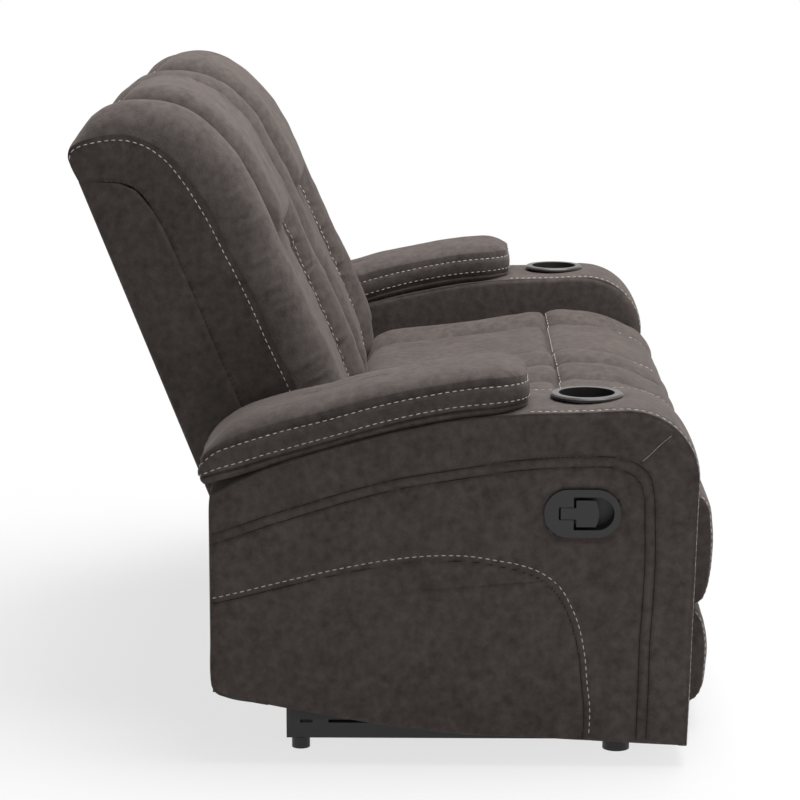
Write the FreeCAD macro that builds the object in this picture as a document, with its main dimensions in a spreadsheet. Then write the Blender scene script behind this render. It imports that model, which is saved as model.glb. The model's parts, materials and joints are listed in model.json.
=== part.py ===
"""Two-seat reclining sofa with hand-pulled releases, in millimetres.

X runs along the sofa's width, the front faces -Y and Z is up. The origin is on the floor
below the middle of the sofa. "right" is the sitter's right, at -X. Every right-hand piece is
modelled and its left-hand twin is its mirror image. Side outlines are drawn as (forward, up).
"""
import FreeCAD
import Part
import Sketcher
import math
import os
import re

os.makedirs("parts", exist_ok=True)
doc = FreeCAD.newDocument("reclining_sofa")
V = FreeCAD.Vector

SIZES = {
    # overall and arms
    "sofa_width": 1600, "arm_width": 200, "side_gap": 3, "soft_gap": 0.3,
    "arm_rear": 282, "arm_rear_top": 431, "arm_mid_top": 540.5, "arm_crest_place": 364,
    "arm_crest": 568, "arm_corner": 110, "arm_front_low": 461, "arm_bottom": 34,
    "belly_place": 75, "belly_lift": 54, "tail_lift": 112, "tail_round": 15,
    "outer_panel_wall": 22, "inner_panel_wall": 18, "inner_panel_bottom": 70,
    "boxing_wall": 14, "boxing_crown": 8, "arm_board": 15, "arm_end_board": 18,
    "arm_floor_rear": 160, "arm_floor_front": 440,
    # arm pads
    "pad_rear": 297, "pad_front": 205, "pad_side_gap": 1, "pad_rear_height": 70,
    "pad_front_height": 62, "pad_round": 9, "pad_drop": 22,
    # cup holders
    "cup_place": 304, "cup_radius": 44, "cup_wall": 2.5, "cup_depth": 75, "cup_rim": 57,
    "cup_rim_wall": 6, "cup_rim_top": 579,
    # release handles
    "bezel_place": 295, "bezel_height": 407, "bezel_length": 119, "bezel_tall": 76,
    "bezel_wall": 3, "bezel_box_length": 105, "bezel_box_tall": 62, "bezel_box_deep": 34,
    "slot_rear": 37, "slot_tall": 20, "slot_step": 14, "recess_front": 49, "recess_tall": 52,
    "lever_gap": 1, "lever_wall": 7, "paddle_front": 25, "paddle_tall": 42, "lever_pin": 2.5,
    "lever_pin_place": 29, "pin_clearance": 0.05, "lever_tail": 16,
    # release cable
    "cable_radius": 3.5, "cable_bend": 45, "cable_place": 262, "cable_low": 112,
    # steel base
    "rail_size": 25, "rail_bottom": 18, "rail_rear": 170, "mech_rail_front": 337,
    "arm_rail_front": 372, "front_tube": 324.5, "rear_tube": 115.5, "foot_radius": 21.5,
    "foot_place": 357, "glide_radius": 14.5, "glide_place": 147.5, "mech_glide_front": 315,
    "upright_wall": 4, "upright_half": 22, "upright_top": 86, "cable_stay_top": 126,
    "timber_wall": 20, "timber_tall": 72,
    # swing links that carry each seat
    "plate_wall": 4, "plate_gap": 2, "mech_inset": 24, "swing_length": 120,
    "swing_lean": 25, "swing_height": 70, "swing_rear": 50, "swing_front": 270,
    "link_half": 12, "rivet_radius": 5,
    # seats
    "frame_bottom": 335, "frame_top": 384, "frame_rear": 145, "frame_front": 405,
    "frame_member": 25, "side_plate_low": 165, "plate_nose": 392, "webbing_wall": 2,
    "webbing_wide": 55, "window_rear": 70, "window_front": 60, "window_long": 100,
    "drive_tube": 20, "drive_tube_place": 300, "drive_tube_height": 280,
    "seat_rear": 78, "seat_rear_top": 440, "seat_seam": 284, "seat_seam_top": 502,
    "seat_nose": 492, "nose_height": 428, "seat_shoulder": 396, "seat_shoulder_top": 500,
    "knee_lip": 421, "seat_edge_drop": 24, "seat_channel": 16, "seat_middle_drop": 8,
    # backs, drawn square to a line that leans rearwards
    "back_lean": 24, "back_foot": 204, "back_foot_height": 418, "back_pivot": 125,
    "back_pivot_height": 362, "back_side_depth": 96, "bolster_crown": 72, "back_tall": 602,
    "crown_rise": 48, "roll_rear": 76, "roll_drop": 48, "shell_depth": 103,
    "shell_top_depth": 75, "shell_wall": 8, "shell_tail": 118, "post_foot": 26, "post_wall": 20,
    "cross_rail_tall": 60, "cross_rail_wall": 22, "pillow_tall": 230, "pillow_swell": 34,
    "back_channel": 26, "back_middle_drop": 22,
    # footrests
    "board_back": 440, "board_wall": 15, "board_low": 55, "board_high": 385,
    "footrest_length": 150, "footrest_fold": 80, "footrest_rise": 5, "lift_pivot": 425,
    "lift_pivot_height": 320, "upper_pad_low": 208, "upper_pad_high": 392,
    "upper_pad_front": 516, "lower_pad_low": 47, "lower_pad_high": 203,
    "lower_pad_front": 512, "pad_edge_drop": 16,
}

sheet = doc.addObject("Spreadsheet::Sheet", "Sizes")
for row, (alias, number) in enumerate(SIZES.items(), start=1):
    sheet.set(f"A{row}", alias)
    sheet.set(f"B{row}", str(number))
    sheet.setAlias(f"B{row}", alias)
doc.recompute()
WORD = re.compile(r"[a-z_]+")


def bound(text):
    """A formula over the named sizes, as an expression that other objects can use."""
    return WORD.sub(lambda m: f"Sizes.{m[0]}" if m[0] in SIZES else m[0], str(text))


def value(text):
    """The number that a formula over the named sizes gives."""
    return float(sheet.evalExpression(str(text)))


# Frames: "side" draws (forward, up) and grows outwards to the right; "front" draws
# (left, up) and grows forward.
SIDE = FreeCAD.Rotation(V(0, -1, 0), V(0, 0, 1), V(-1, 0, 0), "ZXY")
FRONT = FreeCAD.Rotation(V(1, 0, 0), 90)
parts = {}


def turned(angle):
    """The side frame, turned so that its first axis points up by this angle."""
    return SIDE.multiply(FreeCAD.Rotation(V(0, 0, 1), angle))


def at(outward=0, forward=0, up=0, angle=0, frame=None):
    """A placement given in distances to the right, forward and up."""
    base = V(-value(outward), -value(forward), value(up))
    return FreeCAD.Placement(base, frame if frame else turned(angle))


def body(name, placement):
    made = doc.addObject("PartDesign::Body", name)
    made.Placement = placement
    return made


def sketch(owner, outline, lift=0, plane="XY_Plane"):
    """A closed outline of points (x, y) and arcs (via x, via y, x, y), bound to the sizes."""
    made = owner.newObject("Sketcher::SketchObject", owner.Name + "_outline")
    made.AttachmentSupport = [(next(f for f in owner.Origin.OriginFeatures if f.Role == plane), "")]
    made.MapMode = "FlatFace"
    made.setExpression("AttachmentOffset.Base.z", bound(lift))
    ends = [step[-2:] for step in outline]
    numbers = [V(value(x), value(y), 0) for x, y in ends]
    rules = []
    texts = []

    def pin(geometry, point, x, y):
        for axis, text in (("DistanceX", x), ("DistanceY", y)):
            rules.append(Sketcher.Constraint(axis, -1, 1, geometry, point, value(text)))
            texts.append((len(rules) - 1, bound(text)))

    joins = []
    for i, step in enumerate(outline):
        start, end = numbers[i - 1], numbers[i]
        if len(step) == 2:
            index = made.addGeometry(Part.LineSegment(start, end))
            joins.append((index, 1, 2))
            continue
        via = V(value(step[0]), value(step[1]), 0)
        index = made.addGeometry(Part.Arc(start, via, end))
        first = 1 if made.getPoint(index, 1).distanceToPoint(start) < 1e-6 else 2
        joins.append((index, first, 3 - first))
        point = made.addGeometry(Part.Point(via), True)
        rules.append(Sketcher.Constraint("PointOnObject", point, 1, index))
        pin(point, 1, step[0], step[1])
    for i, (index, first, last) in enumerate(joins):
        before = joins[i - 1]
        rules.append(Sketcher.Constraint("Coincident", before[0], before[2], index, first))
        pin(index, last, *ends[i])
    made.addConstraint(rules)
    for number, text in texts:
        made.setExpression(f"Constraints[{number}]", text)
    return made


def ring(owner, x, y, radius, lift=0, plane="XY_Plane"):
    """A sketched circle, bound to the sizes."""
    made = owner.newObject("Sketcher::SketchObject", owner.Name + "_circle")
    made.AttachmentSupport = [(next(f for f in owner.Origin.OriginFeatures if f.Role == plane), "")]
    made.MapMode = "FlatFace"
    made.setExpression("AttachmentOffset.Base.z", bound(lift))
    circle = Part.Circle(V(value(x), value(y), 0), V(0, 0, 1), value(radius))
    made.addGeometry(circle)
    made.addConstraint([
        Sketcher.Constraint("DistanceX", -1, 1, 0, 3, value(x)),
        Sketcher.Constraint("DistanceY", -1, 1, 0, 3, value(y)),
        Sketcher.Constraint("Radius", 0, value(radius))])
    for number, text in enumerate((x, y, radius)):
        made.setExpression(f"Constraints[{number}]", bound(text))
    return made


def pad(owner, drawn, length):
    made = owner.newObject("PartDesign::Pad", owner.Name + "_pad")
    made.Profile = drawn
    made.setExpression("Length", bound(length))
    return made


def pocket(owner, drawn, length, up=False):
    """A cut that runs with the sketch's own direction when up is set."""
    made = owner.newObject("PartDesign::Pocket", owner.Name + "_pocket")
    made.Profile = drawn
    made.Reversed = up
    made.setExpression("Length", bound(length))
    return made


def slab(name, outline, length, placement):
    """One outline pushed out to a length."""
    made = body(name, placement)
    pad(made, sketch(made, outline), length)
    return made


def box(name, wide, deep, tall, outward, forward, up):
    """A straight member: its right-hand, front and lower limits, and its three sizes."""
    made = doc.addObject("Part::Box", name)
    for side, text in (("Length", wide), ("Width", deep), ("Height", tall)):
        made.setExpression(side, bound(text))
    made.Placement = FreeCAD.Placement(V(-value(outward), -value(forward), value(up)),
                                       FreeCAD.Rotation())
    return made


def disc(name, radius, tall, outward, forward, up, axis=V(0, 0, 1)):
    made = doc.addObject("Part::Cylinder", name)
    made.setExpression("Radius", bound(radius))
    made.setExpression("Height", bound(tall))
    made.Placement = FreeCAD.Placement(V(-value(outward), -value(forward), value(up)),
                                       FreeCAD.Rotation(V(0, 0, 1), axis))
    return made


def stud(outward, forward):
    """A glide under a rail, with sixteen sides."""
    made = doc.addObject("Part::Prism", "glide")
    made.Polygon = 16
    made.setExpression("Circumradius", bound("glide_radius"))
    made.setExpression("Height", bound("rail_bottom"))
    made.Placement = FreeCAD.Placement(V(-value(outward), -value(forward), 0), FreeCAD.Rotation())
    return made


def mirrored(source, plane=0):
    """The mirror image of a piece in the upright plane that stands this far to the right."""
    made = doc.addObject("Part::Mirroring", source.Name + "_mirror")
    made.Source = source
    made.Normal = V(1, 0, 0)
    made.Base = V(-value(plane), 0, 0)
    return made


def group(name, members):
    made = doc.addObject("Part::Compound", name)
    made.Links = members
    return made


def both_sides(name, made):
    """Names a right-hand piece and makes its left-hand twin."""
    made.Label = name + "_right"
    twin = mirrored(made)
    twin.Label = name + "_left"
    parts[made.Label] = made
    parts[twin.Label] = twin


def middle(name, made):
    made.Label = name
    parts[name] = made


SEAT_MID = "(sofa_width / 2 - arm_width) / 2"
SEAT_WIDE = "(sofa_width / 2 - arm_width - 2 * side_gap)"
SEAT_EDGE = f"({SEAT_MID} + {SEAT_WIDE} / 2)"
ARM_IN = "(sofa_width / 2 - arm_width)"
ARM_OUT = "(sofa_width / 2)"
ARM_MID = "(sofa_width / 2 - arm_width / 2)"


def pair(name, made):
    """A piece at the right-hand edge of a seat and its mirror image at the other edge."""
    return group(name, [made, mirrored(made, SEAT_MID)])


def arm_path(grow):
    """The arm's top and front outline from its rear, grown by a distance."""
    corner = f"(arm_corner + {grow})"
    return [
        ("-arm_rear", f"arm_rear_top + 1.09 * ({grow})"),
        ("(arm_crest_place - arm_rear) / 2", f"arm_mid_top + 1.02 * ({grow})",
         "arm_crest_place", f"arm_crest + {grow}"),
        (f"arm_crest_place + {corner} * 0.7071", f"arm_crest - arm_corner + {corner} * 0.7071",
         f"arm_crest_place + {corner}", "arm_crest - arm_corner")]


def arm_underside():
    """The arm's lower edge, from the front to the rear."""
    return [("belly_place", "belly_lift"),
            ("(belly_place - arm_rear) / 2", "belly_lift * 0.62 + tail_lift * 0.38 - 6",
             "tail_round - arm_rear", "tail_lift - 3"),
            ("tail_round * 0.3 - arm_rear", "tail_lift - 3 + tail_round * 0.3",
             "-arm_rear", "tail_lift - 3 + tail_round")]


def build_arm():
    under = "-boxing_wall"
    outline = arm_path(under) + [("arm_front_low - boxing_wall", "arm_bottom")] + arm_underside()
    panel = slab("arm_outer_panel", outline, "outer_panel_wall",
                 at(f"{ARM_OUT} - outer_panel_wall"))
    hole = sketch(panel, oblong("bezel_place", "bezel_height", "bezel_box_length + 1",
                                "bezel_box_tall + 1"))
    pocket(panel, hole, "outer_panel_wall", up=True)
    both_sides("arm_outer_panel", panel)

    outline = arm_path(under) + [("arm_front_low - boxing_wall", "inner_panel_bottom"),
                                 ("-arm_rear", "inner_panel_bottom + tail_lift / 2")]
    panel = slab("arm_inner_panel", outline, "inner_panel_wall", at(ARM_IN))
    pocket(panel, ring(panel, "cable_place", "cable_low", "cable_radius + 1"),
           "inner_panel_wall", up=True)
    both_sides("arm_inner_panel", panel)

    strip = body("arm_boxing", at(ARM_IN))
    sections = []
    for share, crown in ((0, 0), (0.07, 0.7), (0.5, 1), (0.93, 0.7), (1, 0)):
        outer = arm_path(f"boxing_crown * {crown}")
        outline = outer + [(f"arm_front_low + boxing_crown * {crown}", "arm_bottom"),
                           ("arm_front_low - boxing_wall", "arm_bottom")]
        outline += back_along(arm_path("-boxing_wall"))
        sections.append(sketch(strip, outline, f"{share} * arm_width"))
    loft(strip, sections)
    hole = body_hole("cup_hole", "cup_radius + cup_wall + 0.5", "cup_rim_top - cup_depth - 20",
                     "cup_depth + 40")
    rebate = body_hole("cup_rebate", "cup_rim + 0.3", "cup_rim_top - cup_rim_wall", "40")
    both_sides("arm_boxing", cut("arm_boxing_cut", strip, [hole, rebate]))

    board = body("arm_board", at(f"{ARM_IN} + inner_panel_wall"))
    inner = arm_path("-boxing_wall - arm_board")
    outline = arm_path(under) + [("arm_front_low - boxing_wall", "rail_bottom + 2 * rail_size"),
                                 ("arm_front_low - boxing_wall - arm_board",
                                  "rail_bottom + 2 * rail_size")] + back_along(inner)
    core = "arm_width - inner_panel_wall - outer_panel_wall"
    pad(board, sketch(board, outline), core)
    shell = cut("arm_board_cut", board, [hole])
    end = box("arm_end", core, "arm_end_board", "arm_rear_top - boxing_wall - arm_board - 24 - tail_lift",
              f"{ARM_OUT} - outer_panel_wall", "-arm_rear + arm_end_board", "tail_lift")
    floor = box("arm_floor", core, "arm_floor_front + arm_floor_rear", "arm_end_board",
                f"{ARM_OUT} - outer_panel_wall", "arm_floor_front", "rail_bottom + 2 * rail_size")
    both_sides("arm_frame", group("arm_frame", [shell, end, floor]))
    both_sides("arm_pad", build_arm_pad())
    both_sides("cup_holder", build_cup())


def back_along(path):
    """The same path drawn the other way, after a line to its last point."""
    ends = [step[-2:] for step in path]
    back = [ends[-1]]
    for i in range(len(path) - 1, 0, -1):
        back.append(path[i][:-2] + ends[i - 1])
    return back


def body_hole(name, radius, bottom, tall):
    """An upright drill on the cup holder's axis."""
    return disc(name, radius, tall, ARM_MID, "cup_place", bottom)


def cut(name, base, tools):
    made = base
    for number, tool in enumerate(tools):
        step = doc.addObject("Part::Cut", f"{name}_{number}")
        step.Base = made
        step.Tool = tool
        made = step
    return made


def stadium(x, y, length, tall):
    """An outline with half-round ends, centred on a point."""
    reach = f"({length} - {tall}) / 2"
    half = f"({tall}) / 2"
    return [(f"{x} - {reach}", f"{y} + {half}"), (f"{x} + {reach}", f"{y} + {half}"),
            (f"{x} + {reach} + {half}", y, f"{x} + {reach}", f"{y} - {half}"),
            (f"{x} - {reach}", f"{y} - {half}"),
            (f"{x} - {reach} - {half}", y, f"{x} - {reach}", f"{y} + {half}")][1:]


def oblong(x, y, length, tall):
    """A rectangle with its corners cut off, centred on a point."""
    far, near = f"({length}) / 2", f"(({length}) / 2 - 18)"
    high, low = f"({tall}) / 2", f"(({tall}) / 2 - 18)"
    corners = ((near, f"-{high}"), (far, f"-{low}"), (far, low), (near, high),
               (f"-{near}", high), (f"-{far}", low), (f"-{far}", f"-{low}"), (f"-{near}", f"-{high}"))
    return [(f"{x} + {a}", f"{y} + {b}") for a, b in corners]


def eye(owner, x, y):
    """The outline of a hole that turns on a rivet, with sixteen flats that touch it."""
    reach = f"(rivet_radius + pin_clearance) / {math.cos(math.pi / 16):.5f}"
    turns = [math.tau * (k + 0.5) / 16 for k in range(16)]
    return sketch(owner, [(f"{x} + {math.cos(a):.5f} * {reach}", f"{y} + {math.sin(a):.5f} * {reach}")
                          for a in turns])


def build_arm_pad():
    """A crowned cushion that follows the arm's top, with drawn-in sides."""
    made = body("arm_pad", at(f"{ARM_IN} + pad_side_gap"))
    wide = "(arm_width - 2 * pad_side_gap)"
    span = "(arm_crest_place + arm_rear)"
    chord = f"(arm_rear_top + (arm_crest - arm_rear_top) * (X + arm_rear) / {span})"
    sag = "(arm_mid_top - (arm_rear_top + arm_crest) / 2)"
    curve = f"({chord} + 4 * {sag} * (X + arm_rear) * (arm_crest_place - X) / {span} / {span})"

    def top_of_arm(place):
        return curve.replace("X", f"({place})")

    sections = []
    for share, drop, inset in ((0, 1, 1), (0.07, 0.34, 0.15), (0.5, 0, 0), (0.93, 0.34, 0.15),
                               (1, 1, 1)):
        rear = f"(-pad_rear + {inset} * pad_round)"
        front = f"(pad_front - {inset} * pad_round)"
        lift = f"boxing_crown * 1.09 + soft_gap + {inset} * pad_round"
        outline = [(f"{front} + pad_round * 0.7", f"{top_of_arm(front)} + pad_front_height * 0.25"),
                   (f"{front} + pad_round", f"{top_of_arm(front)} + pad_front_height * 0.5"),
                   (f"{front} + pad_round * 0.3",
                    f"{top_of_arm(front)} + (pad_front_height - pad_drop * {drop}) * 0.82")]
        for part in (0, 0.2, 0.4, 0.6, 0.8, 1):
            place = f"({front} - 14 + ({rear} - {front} + 40) * {part})"
            tall = f"(pad_front_height + (pad_rear_height - pad_front_height) * {part})"
            outline.append((place, f"{top_of_arm(place)} + {tall} - pad_drop * {drop}"))
        outline.append((f"{rear} + 3", f"{top_of_arm(rear)} + (pad_rear_height - pad_drop * {drop}) * 0.7"))
        for part in (0, 1 / 6, 2 / 6, 3 / 6, 4 / 6, 5 / 6, 1):
            place = f"({rear} + ({front} - {rear}) * {part:.5f})"
            outline.append((place, f"{top_of_arm(place)} + {lift} + 1"))
        sections.append(sketch(made, outline, f"{share} * {wide}"))
    loft(made, sections)
    return made


def loft(owner, sections):
    made = owner.newObject("PartDesign::AdditiveLoft", owner.Name + "_loft")
    made.Profile = sections[0]
    made.Sections = sections[1:]
    made.Ruled = True
    return made


def build_cup():
    """A blind cup with a broad flat rim, turned about its upright axis."""
    made = body("cup_holder", FreeCAD.Placement(
        V(-value(ARM_MID), -value("cup_place"), 0), FRONT))
    rim = "cup_rim_top - cup_rim_wall"
    outline = [("0", "cup_rim_top - cup_depth"), ("cup_radius", "cup_rim_top - cup_depth"),
               ("cup_radius", "cup_rim_top"), ("cup_rim - 2.5", "cup_rim_top"),
               ("cup_rim", "cup_rim_top - 2.5"),
               ("cup_rim", rim), ("cup_radius + cup_wall", rim),
               ("cup_radius + cup_wall", "cup_rim_top - cup_depth - cup_wall"),
               ("0", "cup_rim_top - cup_depth - cup_wall")]
    turn = made.newObject("PartDesign::Revolution", "cup_turn")
    turn.Profile = sketch(made, outline)
    turn.ReferenceAxis = (next(f for f in made.Origin.OriginFeatures if f.Role == "Y_Axis"), [""])
    turn.Angle = 360
    return made


def build_release():
    """A keyhole bezel in the outer panel, and the paddle lever that hinges in its slot."""
    floor = f"{ARM_OUT} - bezel_box_deep"
    bezel = body("bezel", at(floor, "bezel_place", "bezel_height"))
    pad(bezel, sketch(bezel, oblong("0", "0", "bezel_box_length", "bezel_box_tall")),
        "bezel_box_deep")
    pad(bezel, sketch(bezel, stadium("0", "0", "bezel_length", "bezel_tall"), "bezel_box_deep"),
        "bezel_wall")
    half = "recess_tall / 2"
    keyhole = [("-slot_rear", "-slot_tall / 2"), ("-slot_step", "-slot_tall / 2"),
               ("-slot_step", f"-{half}"), (f"recess_front - {half}", f"-{half}"),
               ("recess_front", "0", f"recess_front - {half}", half),
               ("-slot_step", half), ("-slot_step", "slot_tall / 2"),
               ("-slot_rear", "slot_tall / 2")]
    pocket(bezel, sketch(bezel, keyhole, "bezel_wall"), "bezel_box_deep", up=True)
    drill = disc("lever_drill", "lever_pin + pin_clearance", "slot_tall + 8",
                 f"{ARM_OUT} + bezel_wall - lever_wall / 2", "bezel_place - lever_pin_place",
                 "bezel_height - slot_tall / 2 - 4")
    both_sides("release_bezel", cut("bezel_cut", bezel, [drill]))

    lever = body("lever", at(f"{ARM_OUT} + bezel_wall - lever_wall", "bezel_place",
                             "bezel_height"))
    stem = "(slot_tall / 2 - lever_gap)"
    paddle = "(paddle_tall / 2)"
    outline = [("-slot_rear + lever_gap + 2", f"-{stem}"), ("-slot_step + 4", f"-{stem}"),
               ("-slot_step + 4", f"-{paddle}"), ("paddle_front - 5", f"-{paddle}"),
               ("paddle_front", "0", "paddle_front - 5", paddle),
               ("-slot_step + 4", paddle), ("-slot_step + 4", stem),
               ("-slot_rear + lever_gap + 2", stem)]
    pad(lever, sketch(lever, outline), "lever_wall")
    tail = body("lever_tail", at(f"{ARM_OUT} + bezel_wall - lever_wall - lever_tail",
                                 "bezel_place", "bezel_height"))
    pad(tail, sketch(tail, [("-lever_pin_place - 3", "-4"), ("-lever_pin_place + 3", "-4"),
                            ("-lever_pin_place + 3", "4"), ("-lever_pin_place - 3", "4")]),
        "lever_tail")
    rod = disc("lever_pin", "lever_pin", "slot_tall + 6",
               f"{ARM_OUT} + bezel_wall - lever_wall / 2", "bezel_place - lever_pin_place",
               "bezel_height - slot_tall / 2 - 3")
    whole = doc.addObject("Part::MultiFuse", "lever_fused")
    whole.Shapes = [lever, tail, rod]
    both_sides("release_lever", whole)


def build_cable():
    """The cable sheath from the bezel down the arm and in to the base's front bracket."""
    made = body("release_cable", FreeCAD.Placement(V(0, -value("cable_place"), 0), FRONT))
    top, low = "bezel_height", "cable_low"
    start = f"-({ARM_OUT} - bezel_box_deep)"
    drop = f"-{ARM_MID}"
    end = f"-({SEAT_EDGE} - mech_inset)"
    spine = open_path(made, [(start, top), (drop, top), (drop, low), (end, low)], "cable_bend")
    flats = [(f"bezel_height + {a} * cable_radius", f"{b} * cable_radius")
             for a, b in ((1, 0), (0.5, 0.866), (-0.5, 0.866), (-1, 0), (-0.5, -0.866), (0.5, -0.866))]
    profile = sketch(made, flats, start, "YZ_Plane")
    pipe = made.newObject("PartDesign::AdditivePipe", "cable_pipe")
    pipe.Profile = profile
    pipe.Spine = (spine, [""])
    return made


def open_path(owner, corners, bend):
    """Straight runs joined by quarter arcs, in the front frame."""
    made = owner.newObject("Sketcher::SketchObject", owner.Name + "_path")
    made.AttachmentSupport = [(next(f for f in owner.Origin.OriginFeatures
                                    if f.Role == "XY_Plane"), "")]
    made.MapMode = "FlatFace"
    points = [V(value(x), value(y), 0) for x, y in corners]
    radius = value(bend)
    start = points[0]
    for before, here, after in zip(points, points[1:], points[2:]):
        come = (here - before).normalize()
        leave = (after - here).normalize()
        first = here - come * radius
        last = here + leave * radius
        centre = first + leave * radius
        via = centre + (here - centre).normalize() * radius
        made.addGeometry(Part.LineSegment(start, first))
        made.addGeometry(Part.Arc(first, via, last))
        start = last
    made.addGeometry(Part.LineSegment(start, points[-1]))
    return made


def build_base():
    """Steel rails and cross tubes on feet and glides, with two timber rails on the tubes."""
    rail_top = "rail_bottom + rail_size"
    beam = box("arm_rail", "rail_size", "arm_rail_front + rail_rear", "rail_size",
               f"{ARM_MID} + rail_size / 2", "arm_rail_front", "rail_bottom")
    post = box("arm_rail_post", "rail_size", "upright_half", "rail_size",
               f"{ARM_MID} + rail_size / 2", "-rail_rear + upright_half", rail_top)
    middle("arm_rails", group("arm_rails", [beam, post, mirrored(beam), mirrored(post)]))

    tubes = []
    timbers = []
    for name, place in (("front", "front_tube"), ("rear", "-rear_tube")):
        tubes.append(box(name + "_tube", f"2 * {ARM_MID} + rail_size", "rail_size", "rail_size",
                         f"{ARM_MID} + rail_size / 2", f"{place} + rail_size / 2", rail_top))
        timbers.append(box(name + "_timber", f"2 * {ARM_IN}", "timber_wall", "timber_tall",
                           ARM_IN, f"{place} + timber_wall / 2", f"{rail_top} + rail_size"))
    middle("cross_tubes", group("cross_tubes", tubes))
    middle("base_rails", group("base_rails", timbers))

    foot = disc("front_foot", "foot_radius", "rail_bottom", ARM_MID, "foot_place", "0")
    middle("front_feet", group("front_feet", [foot, mirrored(foot)]))

    outer_rail = f"({SEAT_EDGE} - mech_inset - upright_wall - rail_size / 2)"
    inner_rail = f"({SEAT_MID} * 2 - {outer_rail})"
    glides = [stud(ARM_MID, "-glide_place")]
    for rail in (outer_rail, inner_rail):
        for place in ("-glide_place", "mech_glide_front"):
            glides.append(stud(rail, place))
    middle("glides", group("glides", glides + [mirrored(g) for g in glides]))

    edge = f"{SEAT_EDGE} - mech_inset"
    solids = [box("mech_rail", "rail_size", "mech_rail_front + rail_rear", "rail_size",
                  f"{edge} - upright_wall", "mech_rail_front", "rail_bottom")]
    for name, place in (("rear", "-swing_rear"), ("front", "swing_front")):
        half = "upright_half"
        outline = [(f"{place} - {half}", "rail_bottom"), (f"{place} + {half}", "rail_bottom"),
                   (f"{place} + {half}", "upright_top")]
        if name == "front":
            outline += [("cable_place + 9", "upright_top"), ("cable_place + 9", "cable_stay_top"),
                        ("cable_place - 14", "cable_stay_top")]
        else:
            outline += [(f"{place} - {half}", "upright_top")]
        outline[-1] = (f"{place} - {half}", outline[-1][1])
        upright = body(name + "_upright", at(f"{edge} - upright_wall"))
        pad(upright, sketch(upright, outline), "upright_wall")
        reach = "plate_gap + plate_wall + 1"
        pad_in = pad(upright, ring(upright, place, "swing_height", "rivet_radius",
                                   f"-({reach})"), f"{reach} + 1")
        pad_in.Reversed = False
        solids.append(upright)
    both_sides("mechanism_base", pair_group("mechanism_base", solids))


def pair_group(name, solids):
    return group(name, solids + [mirrored(solid, SEAT_MID) for solid in solids])


def bar(name, length, layer, outward_layer, pivot, angle, pin_end=None):
    """A flat link with rounded-off ends. It has a hole where it turns on another piece's rivet."""
    made = body(name, at(layer, pivot[0], pivot[1], angle))
    cut_off = "0.7071 * link_half"
    outline = [(length, "-link_half"), (f"{length} + {cut_off}", f"-{cut_off}"),
               (f"{length} + link_half", "0"), (f"{length} + {cut_off}", cut_off),
               (length, "link_half"), ("0", "link_half"), (f"-{cut_off}", cut_off),
               ("-link_half", "0"), (f"-{cut_off}", f"-{cut_off}"), ("0", "-link_half")]
    pad(made, sketch(made, outline), "plate_wall")
    holes = ["0"] if pin_end else ["0", length]
    for place in holes:
        pocket(made, eye(made, place, "0"), "plate_wall", up=True)
    if pin_end:
        reach = "plate_wall + plate_gap + 1"
        pad(made, ring(made, length, "0", "rivet_radius", f"-({reach})"), f"{reach} + 1")
    return made


def build_swing_links():
    """Four equal parallel links that carry each seat on its base."""
    layer = f"{SEAT_EDGE} - mech_inset - 2 * plate_wall - plate_gap"
    lean = 90 + value("swing_lean")
    for name, place in (("rear_swing_links", "-swing_rear"), ("front_swing_links", "swing_front")):
        link = bar(name, "swing_length", layer, None, (place, "swing_height"), lean)
        both_sides(name, pair(name, link))


def swing_top(place):
    """Where a swing link's upper rivet is, forward and up."""
    lean = math.radians(value("swing_lean"))
    reach = value("swing_length")
    return value(place) - reach * math.sin(lean), value("swing_height") + reach * math.cos(lean)


def footrest_pivots():
    """The fixed pivot, the middle joint and the board's pivot, with the arms folded."""
    rise = math.radians(value("footrest_rise"))
    fold = math.radians(value("footrest_fold"))
    reach = value("footrest_length")
    along = V(math.cos(rise), math.sin(rise), 0)
    lift = V(value("lift_pivot"), value("lift_pivot_height"), 0)
    fixed = lift - along * (2 * reach * math.cos(fold))
    down = rise - fold
    knee = fixed + V(math.cos(down), math.sin(down), 0) * reach
    return fixed, knee, lift


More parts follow.
